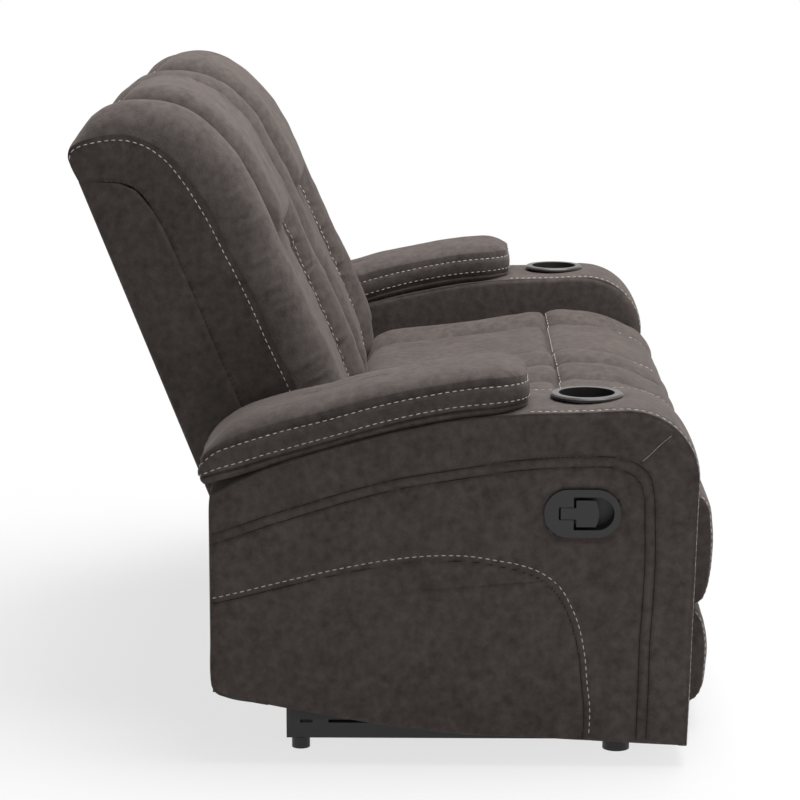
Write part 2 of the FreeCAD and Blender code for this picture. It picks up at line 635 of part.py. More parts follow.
def build_seat():
    """The seat box, its webbing, the steel side plates and the cushion."""
    edge = f"({SEAT_EDGE} - mech_inset)"
    layer = f"({edge} - 3 * plate_wall - 2 * plate_gap)"
    fixed, knee, lift = footrest_pivots()
    plate = body("side_plate", at(layer))
    rear_top = swing_top("-swing_rear")
    front_top = swing_top("swing_front")
    outline = [("-frame_rear", "frame_top - 1"), ("-frame_rear", "frame_bottom"),
               ("-swing_rear - swing_length / 2 - 12", "side_plate_low"),
               ("swing_front - swing_length / 3", "side_plate_low"),
               ("drive_tube_place", "drive_tube_height - 30"),
               ("plate_nose", "lift_pivot_height - 20"), ("plate_nose", "frame_bottom - 2"),
               ("frame_front - 24", "frame_top - 1")]
    pad(plate, sketch(plate, outline), "plate_wall")
    for start in ("-window_rear", "window_front"):
        window = [(start, "side_plate_low + 45"), (f"{start} + window_long", "side_plate_low + 45"),
                  (f"{start} + window_long", "frame_bottom - 20"), (start, "frame_bottom - 20")]
        pocket(plate, sketch(plate, window), "plate_wall", up=True)
    outer = "plate_gap + plate_wall + 1"
    for place, height in (rear_top, front_top):
        pad(plate, ring(plate, place, height, "rivet_radius", "plate_wall - 1"), f"{outer} + 1")
    pad(plate, ring(plate, "-back_pivot", "back_pivot_height", "rivet_radius",
                    "plate_wall - 1"), f"{outer} + 1")
    pad(plate, ring(plate, fixed.x, fixed.y, "rivet_radius", f"-({outer})"), f"{outer} + 1")
    both_sides("seat_side_plates", pair("seat_side_plates", plate))

    inside = f"({edge} - 3 * plate_wall - 2 * plate_gap)"
    clear = f"({SEAT_WIDE} - 2 * (mech_inset + 3 * plate_wall + 2 * plate_gap))"
    tall = "frame_top - frame_bottom"
    side = box("seat_side_member", "frame_member", "frame_front + frame_rear", tall,
               inside, "frame_front", "frame_bottom")
    cross = [box("seat_cross_member", f"{clear} - 2 * frame_member", "frame_member", tall,
                 f"{inside} - frame_member", front, "frame_bottom")
             for front in ("frame_front", "-frame_rear + frame_member")]
    both_sides("seat_frame", group("seat_frame", [side, mirrored(side, SEAT_MID)] + cross))
    tube = box("drive_tube", clear, "drive_tube", "drive_tube", inside,
               "drive_tube_place + drive_tube / 2", "drive_tube_height - drive_tube / 2")
    both_sides("drive_tube", tube)

    straps = []
    for share in (0.12, 0.31, 0.5, 0.69, 0.88):
        straps.append(box("strap", "webbing_wide", "frame_front + frame_rear", "webbing_wall",
                          f"{inside} - {share} * ({clear} - webbing_wide)", "frame_front",
                          "frame_top"))
    both_sides("seat_webbing", group("seat_webbing", straps))
    both_sides("seat_cushion", build_seat_cushion())


# Stations across a cushion, as shares of its width, each with how far the cushion is drawn
# in at its edge, at a sewn channel and over its middle panel.
SEAT_STATIONS = ((0, 1, 0, 0), (0.04, 0.33, 0, 0), (0.13, 0, 0, 0), (0.235, 0, 1, 0),
                 (0.29, 0, 0, 1), (0.5, 0, 0, 0.4), (0.71, 0, 0, 1), (0.765, 0, 1, 0),
                 (0.87, 0, 0, 0), (0.96, 0.33, 0, 0), (1, 1, 0, 0))


def build_seat_cushion():
    made = body("seat_cushion", at(SEAT_MID + f" - {SEAT_WIDE} / 2"))
    bottom = "frame_top + webbing_wall + soft_gap"
    sections = []
    for share, edge, channel, panel in SEAT_STATIONS:
        drop = f"({edge} * seat_edge_drop + {channel} * seat_channel + {panel} * seat_middle_drop)"
        nose = f"(seat_nose - {drop} * 0.8)"
        outline = [
            ("-seat_rear", bottom), ("frame_front", bottom), (f"{nose} - 6", "knee_lip"),
            (nose, "nose_height"), (f"{nose} - 6", f"nose_height + 14 - {drop} * 0.2"),
            (f"{nose} - 20", f"seat_shoulder_top - 35 - {drop} * 0.55"),
            (f"{nose} - 42", f"seat_shoulder_top - 16 - {drop} * 0.9"),
            (f"(seat_shoulder + {nose} - 42) / 2", f"seat_shoulder_top - 5 - {drop}"),
            ("seat_shoulder", f"seat_shoulder_top - {drop}"),
            ("(seat_shoulder + seat_seam) / 2", f"seat_seam_top + 5 - {drop}"),
            ("seat_seam", f"seat_seam_top - 3 - {drop}"),
            ("seat_seam * 0.67", f"seat_seam_top * 0.72 + seat_rear_top * 0.28 + 5 - {drop}"),
            ("(seat_seam - 45) / 2", f"(seat_seam_top + seat_rear_top) / 2 + 9 - {drop}"),
            ("-45", f"seat_rear_top - {drop} * 0.5"),
            ("-seat_rear", f"{bottom} + 14")]
        sections.append(sketch(made, outline, f"{share} * {SEAT_WIDE}"))
    loft(made, sections)
    return made


def leaned(outward):
    """The back's own frame: its first axis is square to the leaning front."""
    return at(outward, "-back_foot", "back_foot_height", value("back_lean"))


def shell_rear(place):
    """How far the inside of the shell's rear wall is from the leaning line, at a height."""
    return ("(shell_wall - shell_depth + (shell_depth - shell_top_depth)"
            f" * ({place} + shell_tail) / (back_tall - roll_drop - 1 + shell_tail))")


BACK_STATIONS = ((0, 1, 0, 0), (0.03, 0.5, 0, 0), (0.12, 0, 0, 0), (0.225, 0, 1, 0),
                 (0.26, 0, 0.35, 1), (0.74, 0, 0.35, 1), (0.775, 0, 1, 0), (0.88, 0, 0, 0),
                 (0.97, 0.5, 0, 0), (1, 1, 0, 0))


def build_back():
    """A timber ladder in a covered shell, its brackets, the cushion and the head pillow."""
    edge = f"({SEAT_EDGE} - mech_inset - 2 * plate_wall - plate_gap)"
    pivot = value("-back_pivot + back_foot"), value("back_pivot_height - back_foot_height")
    lean = math.radians(value("back_lean"))
    near = (pivot[0] * math.cos(lean) + pivot[1] * math.sin(lean),
            pivot[1] * math.cos(lean) - pivot[0] * math.sin(lean))
    bracket = body("back_bracket", leaned(edge))
    outline = [(near[0] - 14, near[1] - 13), (near[0] + 12, near[1] - 13),
               (near[0] + 16.5, near[1] - 7.5), (near[0] + 19, near[1]),
               (near[0] + 16.5, near[1] + 7.5), (near[0] + 12, near[1] + 13),
               ("-12", "6"), ("-18", "200"), ("-42", "200"), ("-46", "post_foot - 18")]
    pad(bracket, sketch(bracket, outline), "plate_wall")
    pocket(bracket, eye(bracket, near[0], near[1]), "plate_wall", up=True)
    both_sides("back_brackets", pair("back_brackets", bracket))

    post = slab("back_post", [(shell_rear("post_foot"), "post_foot"), ("8", "post_foot - 16"),
                              ("8", "back_tall - roll_drop - shell_wall - 1"),
                              (shell_rear("back_tall - roll_drop - shell_wall - 1"),
                               "back_tall - roll_drop - shell_wall - 1")],
                "post_wall", leaned(f"{edge} - post_wall"))
    clear = f"({SEAT_WIDE} - 2 * (mech_inset + 2 * plate_wall + plate_gap + post_wall))"
    rails = []
    for low in ("36", "260", "back_tall - roll_drop - shell_wall - 72"):
        rails.append(slab("back_cross_rail", [("8 - cross_rail_wall", low), ("8", low),
                                              ("8", f"{low} + cross_rail_tall"),
                                              ("8 - cross_rail_wall",
                                               f"{low} + cross_rail_tall")],
                          clear, leaned(f"{edge} - post_wall - {clear}")))
    both_sides("back_frame", group("back_frame", [post, mirrored(post, SEAT_MID)] + rails))

    shell = body("back_shell", leaned(SEAT_MID + f" - {SEAT_WIDE} / 2"))
    pad(shell, sketch(shell, [("-shell_depth", "-shell_tail"),
                              ("-shell_depth + 34", "8 - shell_tail"), ("8", "-4"),
                              ("8", "back_tall - roll_drop - 1"),
                              ("-shell_top_depth", "back_tall - roll_drop - 1")]), SEAT_WIDE)
    low, high = "-shell_tail - 1", "back_tall - roll_drop - 1 - shell_wall"
    inside = [(shell_rear(low), low), ("9", low), ("9", high), (shell_rear(high), high)]
    pocket(shell, sketch(shell, inside, "shell_wall"), f"{SEAT_WIDE} - 2 * shell_wall", up=True)
    both_sides("back_shell", shell)
    both_sides("back_cushion", build_back_cushion())
    both_sides("head_pillow", build_pillow())


def back_front(deep, tall, edge):
    """The front and top of a back cushion in the leaning frame, from its front foot."""
    return [(f"{deep} - 8", f"-{deep} * 0.16"), (deep, "24"),
            (f"{deep} + 4 * {1 - edge}", "back_tall * 0.36"), (f"{deep} - 10", "back_tall * 0.66"),
            (f"{deep} * 0.88 + 3", f"{tall} - 162"), (f"{deep} * 0.72 + 6", f"{tall} - 74"),
            (f"{deep} * 0.58", f"{tall} - 35"), (f"{deep} * 0.4", f"{tall} - 6"),
            (f"{deep} * 0.22 - 6", f"{tall} + 1"), (f"{deep} * 0.05 - 14", f"{tall} + 2"),
            ("-roll_rear * 0.55", f"{tall} * 0.6 + back_tall * 0.4 + 9"),
            ("-roll_rear", "back_tall + 14"),
            (f"-roll_rear - 5 * {1 - edge}", "back_tall - roll_drop + 26"),
            ("-roll_rear + 2", "back_tall - roll_drop")]


def build_back_cushion():
    made = body("back_cushion", leaned(SEAT_MID + f" - {SEAT_WIDE} / 2"))
    sections = []
    for share, edge, channel, panel in BACK_STATIONS:
        deep = (f"(back_side_depth + bolster_crown * {1 - edge} - {channel} * back_channel"
                f" - {panel} * back_middle_drop)")
        tall = f"(back_tall + crown_rise * {1 - edge} - {channel} * back_channel * 0.5)"
        outline = [("8 + soft_gap", "0"), (f"{deep} * 0.77", f"5 - {deep} * 0.343")]
        outline += back_front(deep, tall, edge)
        outline += [("8 + soft_gap", "back_tall - roll_drop")]
        sections.append(sketch(made, outline, f"{share} * {SEAT_WIDE}"))
    loft(made, sections)
    return made


def build_pillow():
    """The head pillow, sewn over the upper half of the middle panel."""
    made = body("head_pillow", leaned(SEAT_MID + f" - {SEAT_WIDE} / 2"))
    deep = "(back_side_depth + bolster_crown - back_channel * 0.35 - back_middle_drop)"
    tall = "(back_tall + crown_rise - back_channel * 0.175)"
    sections = []
    for share, swell in ((0.265, 0.12), (0.29, 0.6), (0.35, 0.9), (0.5, 1), (0.65, 0.9),
                         (0.71, 0.6), (0.735, 0.12)):
        out = f"(pillow_swell * {swell})"
        outline = [
            (f"{deep} - 6 + {out} * 0.72", "back_tall - pillow_tall + 7"),
            (f"{deep} - 9 + {out}", "back_tall - pillow_tall + 44"),
            (f"{deep} * 0.88 + 4 + {out}", f"{tall} - 155"),
            (f"{deep} * 0.72 + 8 + {out} * 0.95", f"{tall} - 72 + {out} * 0.3"),
            (f"{deep} * 0.58 + 3 + {out} * 0.65", f"{tall} - 33 + {out} * 0.3"),
            (f"{deep} * 0.4 + 3 + {out} * 0.35", f"{tall} - 3 + {out} * 0.14"),
            (f"{deep} * 0.3", f"{tall} + 3 + {out} * 0.05"), (f"{deep} * 0.2", f"{tall} + 4"),
            (f"{deep} * 0.4 + soft_gap * 0.8", f"{tall} - 5.6"),
            (f"{deep} * 0.58 + soft_gap", f"{tall} - 34.75"),
            (f"{deep} * 0.72 + 6 + soft_gap", f"{tall} - 73.8"),
            (f"{deep} * 0.88 + 3 + soft_gap", f"{tall} - 162"),
            (f"{deep} - 10 + soft_gap", "back_tall * 0.66"),
            (f"{deep} - 7.9 + soft_gap", "back_tall - pillow_tall")]
        sections.append(sketch(made, outline, f"{share} * {SEAT_WIDE}"))
    loft(made, sections)
    return made


FOOTREST_STATIONS = ((0, 1), (0.015, 0.6), (0.045, 0.25), (0.1, 0.05), (0.3, 0), (0.7, 0),
                     (0.9, 0.05), (0.955, 0.25), (0.985, 0.6), (1, 1))


def build_footrest():
    """Two pairs of folding arms, the board they carry and its upper and lower pads."""
    fixed, knee, lift = footrest_pivots()
    edge = f"({SEAT_EDGE} - mech_inset - 3 * plate_wall - 2 * plate_gap)"
    step = "(plate_wall + plate_gap)"
    down = value("footrest_rise") - value("footrest_fold")
    up = value("footrest_rise") + value("footrest_fold")
    first = bar("footrest_rear_arms", "footrest_length", f"{edge} - {step}", None,
                (fixed.x, fixed.y), down, pin_end=True)
    both_sides("footrest_rear_arms", pair("footrest_rear_arms", first))
    second = bar("footrest_front_arms", "footrest_length", f"{edge} - 2 * {step}", None,
                 (knee.x, knee.y), up, pin_end=True)
    both_sides("footrest_front_arms", pair("footrest_front_arms", second))

    layer = f"{edge} - 3 * {step}"
    hanger = body("board_hanger", at(layer))
    front = "board_back + board_wall"
    outline = [("lift_pivot - 4", "lift_pivot_height - 14"), ("board_back", "board_low + 150"),
               (front, "board_low + 150"), (front, "board_high - 10"),
               ("board_back", "board_high - 10"), ("lift_pivot - 4", "lift_pivot_height + 14"),
               ("lift_pivot - 13.9", "lift_pivot_height + 9.9"),
               ("lift_pivot - 18", "lift_pivot_height"),
               ("lift_pivot - 13.9", "lift_pivot_height - 9.9")]
    pad(hanger, sketch(hanger, outline), "plate_wall")
    pocket(hanger, eye(hanger, "lift_pivot", "lift_pivot_height"), "plate_wall", up=True)
    wide = f"{SEAT_WIDE} - 2 * ({SEAT_EDGE} - ({layer}))"
    board = box("footrest_board", wide, "board_wall", "board_high - board_low", layer,
                front, "board_low")
    both_sides("footrest_board", group("footrest_board", [hanger, mirrored(hanger, SEAT_MID),
                                                          board]))
    for name, low, high, reach in (
            ("footrest_upper_pad", "upper_pad_low", "upper_pad_high", "upper_pad_front"),
            ("footrest_lower_pad", "lower_pad_low", "lower_pad_high", "lower_pad_front")):
        soft = body(name, at(SEAT_MID + f" - {SEAT_WIDE} / 2"))
        sections = []
        for share, edge_in in FOOTREST_STATIONS:
            out = f"({reach} - {edge_in} * pad_edge_drop)"
            bottom = f"({low} + {edge_in} * 6)"
            top = f"({high} - {edge_in} * 6)"
            outline = [(front, bottom), (f"{out} - 20", bottom),
                       (f"{out} - 8", f"{bottom} + 8"), (f"{out} - 4", f"{bottom} + 26"),
                       (out, f"({bottom} + {top}) / 2"), (f"{out} - 6", f"{top} - 26"),
                       (f"{out} - 12", f"{top} - 8"), (f"{out} - 26", top),
                       (front, f"{top} - 2")]
            sections.append(sketch(soft, outline, f"{share} * {SEAT_WIDE}"))
        loft(soft, sections)
        both_sides(name, soft)


build_arm()
build_release()
both_sides("release_cable", build_cable())
build_base()
build_swing_links()
build_seat()
build_back()
build_footrest()
doc.recompute()

for thing in doc.Objects:
    if {"Invalid", "Error"} & set(thing.State):
        raise RuntimeError(f"{thing.Label} did not build: {thing.State}")
for name, made in parts.items():
    if made.Shape.isNull() or not made.Shape.isValid():
        raise RuntimeError(f"{name} has no valid shape")
for name, made in parts.items():
    made.Shape.exportStep(f"parts/{name}.step")
print(len(parts), "sub-parts written")
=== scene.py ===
"""Dresses the two-seat reclining sofa: sewn suede covers, stitching, finishes, stage."""
import json
import math

import bmesh
import bpy
import numpy as np
from bpy.props import FloatProperty, FloatVectorProperty, PointerProperty
from mathutils import Matrix, Vector


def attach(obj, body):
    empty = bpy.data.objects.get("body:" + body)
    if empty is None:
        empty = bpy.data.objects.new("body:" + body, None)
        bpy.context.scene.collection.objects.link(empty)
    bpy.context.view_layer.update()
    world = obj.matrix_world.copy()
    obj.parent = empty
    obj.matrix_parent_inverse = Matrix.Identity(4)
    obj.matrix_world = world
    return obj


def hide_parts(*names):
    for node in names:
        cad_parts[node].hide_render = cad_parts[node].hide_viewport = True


bl_info = {
    "name": "Reclining sofa dressing",
    "version": (1, 0, 0),
    "blender": (4, 5, 0),
    "location": "3D View > Sidebar > Sofa",
    "description": "Upholstery, stitching, finishes and stage for a two-seat reclining sofa",
    "category": "Object",
}

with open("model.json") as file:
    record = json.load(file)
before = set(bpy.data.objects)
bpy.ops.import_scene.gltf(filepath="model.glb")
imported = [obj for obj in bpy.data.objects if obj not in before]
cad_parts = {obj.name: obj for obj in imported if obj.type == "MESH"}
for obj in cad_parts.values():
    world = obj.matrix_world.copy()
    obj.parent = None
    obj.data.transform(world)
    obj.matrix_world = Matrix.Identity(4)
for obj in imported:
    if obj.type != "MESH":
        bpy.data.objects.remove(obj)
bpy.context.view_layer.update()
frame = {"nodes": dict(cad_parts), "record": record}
MM = 0.001
SIDES = ("right", "left")


def hex_colour(text):
    """An sRGB hex colour as linear red, green and blue."""
    parts = [int(text[i:i + 2], 16) / 255 for i in (1, 3, 5)]
    return [p / 12.92 if p <= 0.04045 else ((p + 0.055) / 1.055) ** 2.4 for p in parts]


class SofaSizes(bpy.types.PropertyGroup):
    """Sizes of the sewing, in millimetres."""
    seam_depth: FloatProperty(name="Seam depth", default=3.2, min=0, max=8,
                              description="How far a sewn seam is drawn in")
    gather_depth: FloatProperty(name="Gather depth", default=1.5, min=0, max=5,
                                description="How deep the puckers beside a seam are")
    stitch_length: FloatProperty(name="Stitch length", default=8.0, min=3, max=20,
                                 description="Length of one thread stitch that shows")
    stitch_gap: FloatProperty(name="Stitch gap", default=3.4, min=1, max=10,
                              description="Gap from one stitch to the next")
    thread_width: FloatProperty(name="Thread width", default=1.7, min=0.5, max=4,
                                description="Width of the topstitching thread")
    crown: FloatProperty(name="Boxing crown", default=4.5, min=0, max=15,
                         description="How far the arm's boxing strip swells")
    lens: FloatProperty(name="Lens", default=133.95, min=20, max=300,
                        description="Focal length of the camera in millimetres")


class SofaColours(bpy.types.PropertyGroup):
    """Colours of the cover, the thread and the hard parts."""
    cover: FloatVectorProperty(name="Cover", subtype="COLOR", size=3,
                               default=hex_colour("#4A4340"), description="Suede cover")
    cover_nap: FloatVectorProperty(name="Cover nap", subtype="COLOR", size=3,
                                   default=hex_colour("#5C5451"),
                                   description="Suede brushed the other way")
    thread: FloatVectorProperty(name="Thread", subtype="COLOR", size=3,
                                default=hex_colour("#D8D2C8"), description="Topstitching")
    plastic: FloatVectorProperty(name="Plastic", subtype="COLOR", size=3,
                                 default=hex_colour("#1C1C1C"), description="Release handle")
    steel: FloatVectorProperty(name="Steel", subtype="COLOR", size=3,
                               default=hex_colour("#1A1A1B"), description="Frame and links")
    timber: FloatVectorProperty(name="Timber", subtype="COLOR", size=3,
                                default=hex_colour("#B9925F"), description="Frame timber")


def sizes():
    return bpy.context.scene.sofa_sizes


def colours():
    return bpy.context.scene.sofa_colours


# Lines and noise, in millimetres. A side outline is drawn as (forward, up).

def smooth_line(points, step, steps_between=20):
    """Evenly spaced points on a smooth curve through the given ones."""
    return even_line(curve_through(np.array(points, float), steps_between), step)


def curve_through(given, steps_between=20):
    """Points on a smooth curve, which doesn't overshoot where long and short spans meet."""
    span = np.maximum(np.linalg.norm(np.diff(given[:, :2], axis=0), axis=1), 1e-6)
    lean_in = np.diff(given, axis=0) / span[:, None]
    slope = np.empty_like(given)
    slope[0], slope[-1] = lean_in[0], lean_in[-1]
    before, after = span[:-1, None], span[1:, None]
    slope[1:-1] = (lean_in[:-1] * after + lean_in[1:] * before) / (before + after)
    t = np.linspace(0, 1, steps_between, endpoint=False)[:, None]
    runs = [(2 * t ** 3 - 3 * t ** 2 + 1) * a + (t ** 3 - 2 * t ** 2 + t) * s * m
            + (3 * t ** 2 - 2 * t ** 3) * b + (t ** 3 - t ** 2) * s * n
            for a, b, m, n, s in zip(given[:-1], given[1:], slope[:-1], slope[1:], span)]
    return np.vstack(runs + [given[-1:]])


def even_line(line, step, count=None):
    """The same line with its points spaced evenly."""
    length = line_length(line)
    count = count or max(int(round(length[-1] / step)), 2) + 1
    places = np.linspace(0, length[-1], count)
    return np.stack([np.interp(places, length, line[:, k]) for k in range(line.shape[1])], 1)


def line_length(line):
    """The length along a line at each of its points."""
    return np.r_[0, np.cumsum(np.linalg.norm(np.diff(line, axis=0), axis=1))]


def looped(line):
    """The same line with its first point once more at its end."""
    return np.concatenate([line, line[:1]], 0)


def arc(centre, radius, start, end, count=12):
    """Points on an arc, from one angle to another in degrees."""
    angles = np.radians(np.linspace(start, end, count))
    return np.stack([centre[0] + radius * np.cos(angles), centre[1] + radius * np.sin(angles)], 1)


def side_normals(line):
    """Unit normals of a side outline that runs from the bottom by the front to the top."""
    along = np.gradient(line, axis=0)
    normal = np.stack([along[:, 1], -along[:, 0]], 1)
    return normal / np.linalg.norm(normal, axis=1)[:, None]


def ease(x, low, high):
    """0 below low, 1 above high, and a smooth step between."""
    t = np.clip((np.asarray(x, float) - low) / (high - low), 0, 1)
    return t * t * (3 - 2 * t)


def soft_noise(x, y, size_x, size_y, seed):
    """Smooth random values from -1 to 1, with features of about these sizes."""
    table = np.random.default_rng(seed).uniform(-1, 1, (61, 67))
    x, y = np.asarray(x, float) / size_x, np.asarray(y, float) / size_y
    i, j = np.floor(x).astype(int), np.floor(y).astype(int)
    u, v = x - i, y - j
    u, v = u * u * (3 - 2 * u), v * v * (3 - 2 * v)
    pick = lambda a, b: table[a % 61, b % 67]
    low = pick(i, j) * (1 - u) + pick(i + 1, j) * u
    high = pick(i, j + 1) * (1 - u) + pick(i + 1, j + 1) * u
    return low * (1 - v) + high * v


def pucker(along, away, reach, seed, wave=13.0):
    """Gathers that run square to a seam and fade with the distance from it."""
    away = np.abs(away)
    along = along + 3.0 * soft_noise(along, away, 40, 26, seed + 2)
    ripple = soft_noise(along, away, wave, 70, seed)
    ripple = ripple + 0.6 * soft_noise(along, away, wave * 0.5, 34, seed + 1)
    pinch = 1 - 2 * np.minimum(np.abs(ripple) * 2.2, 1)
    length = reach * (0.7 + 0.7 * np.abs(soft_noise(along, along * 0, wave * 1.7, 50, seed + 4)))
    return (0.75 * ripple - 0.5 * pinch) * np.exp(-(away / length) ** 1.5)


def groove(away, width):
    """1 on a seam, falling to 0 beside it."""
    return np.exp(-(np.asarray(away, float) / width) ** 2)


def line_distance(points, line):
    """For each point, how far the line is, and how far along it the nearest place is."""
    length = line_length(line)
    best = np.full(len(points), 1e9)
    along = np.zeros(len(points))
    for a, b, start in zip(line[:-1], line[1:], length[:-1]):
        run = b - a
        size = max(float(run @ run), 1e-9)
        t = np.clip((points - a) @ run / size, 0, 1)
        away = np.linalg.norm(points - (a + t[:, None] * run), axis=1)
        nearer = away < best
        best[nearer] = away[nearer]
        along[nearer] = start + t[nearer] * math.sqrt(size)
    return best, along


# Meshes

def grid_piece(name, places, seam=None, material=None):
    """A closed piece from a bmesh grid: its columns run round it and its ends are filled."""
    rows, columns = places.shape[:2]
    bm = bmesh.new()
    bmesh.ops.create_grid(bm, x_segments=columns - 1, y_segments=rows - 1, size=1)
    # The "seam" attribute is painted shade: how much darker the cover is painted in a seam's
    # groove.
    layer = bm.verts.layers.float.new("seam")
    for vert in bm.verts:
        i = round((vert.co.y + 1) / 2 * (rows - 1))
        j = round((vert.co.x + 1) / 2 * (columns - 1))
        vert.co = places[i, j] * MM
        vert[layer] = 0 if seam is None else seam[i, j]
    bmesh.ops.remove_doubles(bm, verts=bm.verts, dist=0.00002)
    bmesh.ops.holes_fill(bm, edges=[e for e in bm.edges if e.is_boundary], sides=0)
    bmesh.ops.recalc_face_normals(bm, faces=bm.faces)
    return finish_mesh(name, bm, material)


def finish_mesh(name, bm, material):
    """A new object in the scene from a bmesh, shaded smooth."""
    mesh = bpy.data.meshes.new(name)
    bm.to_mesh(mesh)
    bm.free()
    mesh.shade_smooth()
    if material:
        mesh.materials.append(material)
    made = bpy.data.objects.new(name, mesh)
    bpy.context.scene.collection.objects.link(made)
    return made


def surface_normals(places, outward):
    """Unit normals of a grid of places, turned so that they point along outward."""
    down = np.gradient(places, axis=0)
    across = np.gradient(places, axis=1)
    normal = np.cross(down, across)
    normal /= np.maximum(np.linalg.norm(normal, axis=2), 1e-9)[..., None]
    flip = np.sign((normal * outward).sum(axis=2))
    flip[flip == 0] = 1
    return normal * flip[..., None]


def mirrored(places, side):
    """Right-hand places as they are, or their mirror image for the left."""
    return places if side == "right" else places * np.array([-1, 1, 1])


def stitches(name, lines, side, material, lift=0.35, flat=0.36):
    """Thread stitches laid end to end along lines of (places, normals).

    lift is how far their middle stands off the line, in mm, and flat is their half height as a
    share of the thread's width."""
    s = sizes()
    stitch = bmesh.new()
    bmesh.ops.create_uvsphere(stitch, u_segments=6, v_segments=4, radius=MM)
    template = bpy.data.meshes.new(name + "_stitch")
    stitch.to_mesh(template)
    stitch.free()
    bm = bmesh.new()
    for line, normals in lines:
        line, normals = mirrored(line, side), mirrored(normals, side)
        length = line_length(line)
        place = s.stitch_gap / 2
        while place + s.stitch_length < length[-1]:
            start, middle, end = [Vector([np.interp(spot, length, line[:, k]) for k in range(3)])
                                  for spot in (place, place + s.stitch_length / 2,
                                               place + s.stitch_length)]
            up = Vector([np.interp(place + s.stitch_length / 2, length, normals[:, k])
                         for k in range(3)])
            along = (end - start).normalized()
            across = up.cross(along).normalized()
            up = along.cross(across)
            turn = Matrix((along * (end - start).length / 2, across * s.thread_width / 2,
                           up * s.thread_width * flat)).transposed()
            count = len(bm.verts)
            bm.from_mesh(template)
            bm.verts.ensure_lookup_table()
            for vert in bm.verts[count:]:
                vert.co = turn @ vert.co + (middle + up * lift) * MM
            place += s.stitch_length + s.stitch_gap
    bpy.data.meshes.remove(template)
    return finish_mesh(name, bm, material)


def seam_cords(name, lines, side, material, radius=1.0, sink=0.4, sides=6):
    """Thin cords along lines of (places, normals), sunk a little into the cover."""
    bm = bmesh.new()
    angles = [math.tau * k / sides for k in range(sides)]
    for line, normals in lines:
        line, normals = mirrored(line, side), mirrored(normals, side)
        along = np.gradient(line, axis=0)
        along /= np.linalg.norm(along, axis=1)[:, None]
        across = np.cross(normals, along)
        across /= np.linalg.norm(across, axis=1)[:, None]
        rings = []
        for place, normal, sideways in zip(line, normals, across):
            centre = place - normal * sink
            verts = [bm.verts.new((centre + radius * (math.cos(a) * sideways
                                                      + math.sin(a) * normal)) * MM)
                     for a in angles]
            rings.append([bm.edges.new((verts[k], verts[k - 1])) for k in range(sides)])
        for ring, after in zip(rings[:-1], rings[1:]):
            bmesh.ops.bridge_loops(bm, edges=ring + after)
        for end in (rings[0], rings[-1]):
            bmesh.ops.contextual_create(bm, geom=end)
    bmesh.ops.recalc_face_normals(bm, faces=bm.faces)
    return finish_mesh(name, bm, material)


# Sewn covers

BOXING = 9  # columns up each side of a cushion
BASE = 5  # columns under it


def place_at(x, flat):
    """Places from X and side points given as (forward, up)."""
    return np.stack([np.broadcast_to(x, flat.shape[:-1]), -flat[..., 0], flat[..., 1]], -1)


def sewn_strip(edge, inner, width, top, rise, swell=0.0):
    """Places round a sewn cushion in rows: boxing, crowned top, boxing, base.

    edge and inner are the two sewn edges of the boxing. top holds the columns across the top,
    and rise(length, column) gives how far it stands out. The first column lies at the outer
    side, X = 0, and the last at X = width."""
    stand = rise(line_length(edge)[:, None], top[None, :])
    crown = edge[:, None, :] + side_normals(edge)[:, None, :] * stand[..., None]
    share = np.linspace(0, 1, BOXING, endpoint=False)
    side = inner[:, None, :] + (edge - inner)[:, None, :] * share[None, :, None]
    puff = swell * np.sin(np.pi * share)
    x = np.concatenate([-puff, top, (width + puff)[::-1], np.linspace(width, 0, BASE + 1)[1:]])
    flat = np.concatenate([side, crown, side[:, ::-1], inner[:, None, :].repeat(BASE, 1)], 1)
    return place_at(x, flat)


def facing(edge):
    """The direction in which each row of a sewn strip faces outward."""
    return place_at(0.0, side_normals(edge))[:, None, :]


def painted_seam_shade(places, top, seams, width=2.6):
    """Painted shade: how dark a strip is painted beside the seams that run through all its rows."""
    dark = np.zeros(places.shape[:2])
    for at in seams:
        near = dark[:, BOXING:BOXING + len(top)]
        np.maximum(near, 0.6 * groove(top[None] - at, width), out=near)
    return dark


def close(places):
    """A grid with its first column once more at its end."""
    return np.concatenate([places, places[:, :1]], 1)


def cover_piece(name, side, places, seam=None):
    """A cover for one side of the sofa, from its right-hand places."""
    # seam is the painted shade in the seams' grooves, kept as the "seam" attribute.
    return grid_piece(f"{name}_{side}", close(mirrored(places, side)),
                      None if seam is None else close(seam), finish("cover"))


def line_at(places, normals, column, rows=slice(None)):
    """The line through all rows at a column that may lie between two."""
    low = int(math.floor(column))
    part = column - low
    high = min(low + 1, places.shape[1] - 1)
    mix = lambda a: a[rows, low] * (1 - part) + a[rows, high] * part
    return mix(places), mix(normals)


def column_of(top, x):
    """The column at a distance across the top."""
    return BOXING + float(np.interp(x, top, np.arange(len(top))))


def knots(x, table, samples=400, blur=0.016):
    """Interpolates a table of (place, value) pairs, its corners blurred over a share of it."""
    table = np.array(table, float)
    fine = np.linspace(table[0, 0], table[-1, 0], samples)
    values = np.interp(fine, table[:, 0], table[:, 1])
    span = max(3, int(samples * blur)) | 1
    padded = np.pad(values, span // 2, mode="edge")
    values = np.convolve(padded, np.ones(span) / span, mode="valid")
    return np.interp(x, fine, values)


# Finishes

def node(tree, kind, at=(0, 0), inputs=(), **settings):
    """Adds a node and sets it. inputs pairs an output or a value with one of its inputs."""
    made = tree.nodes.new(kind)
    made.location = at
    for key, value in settings.items():
        if key in made.bl_rna.properties:
            setattr(made, key, value)
        else:
            made.inputs[key.replace("_", " ")].default_value = value
    for source, name in inputs:
        if isinstance(source, bpy.types.NodeSocket):
            tree.links.new(source, made.inputs[name])
        else:
            made.inputs[name].default_value = source
    return made


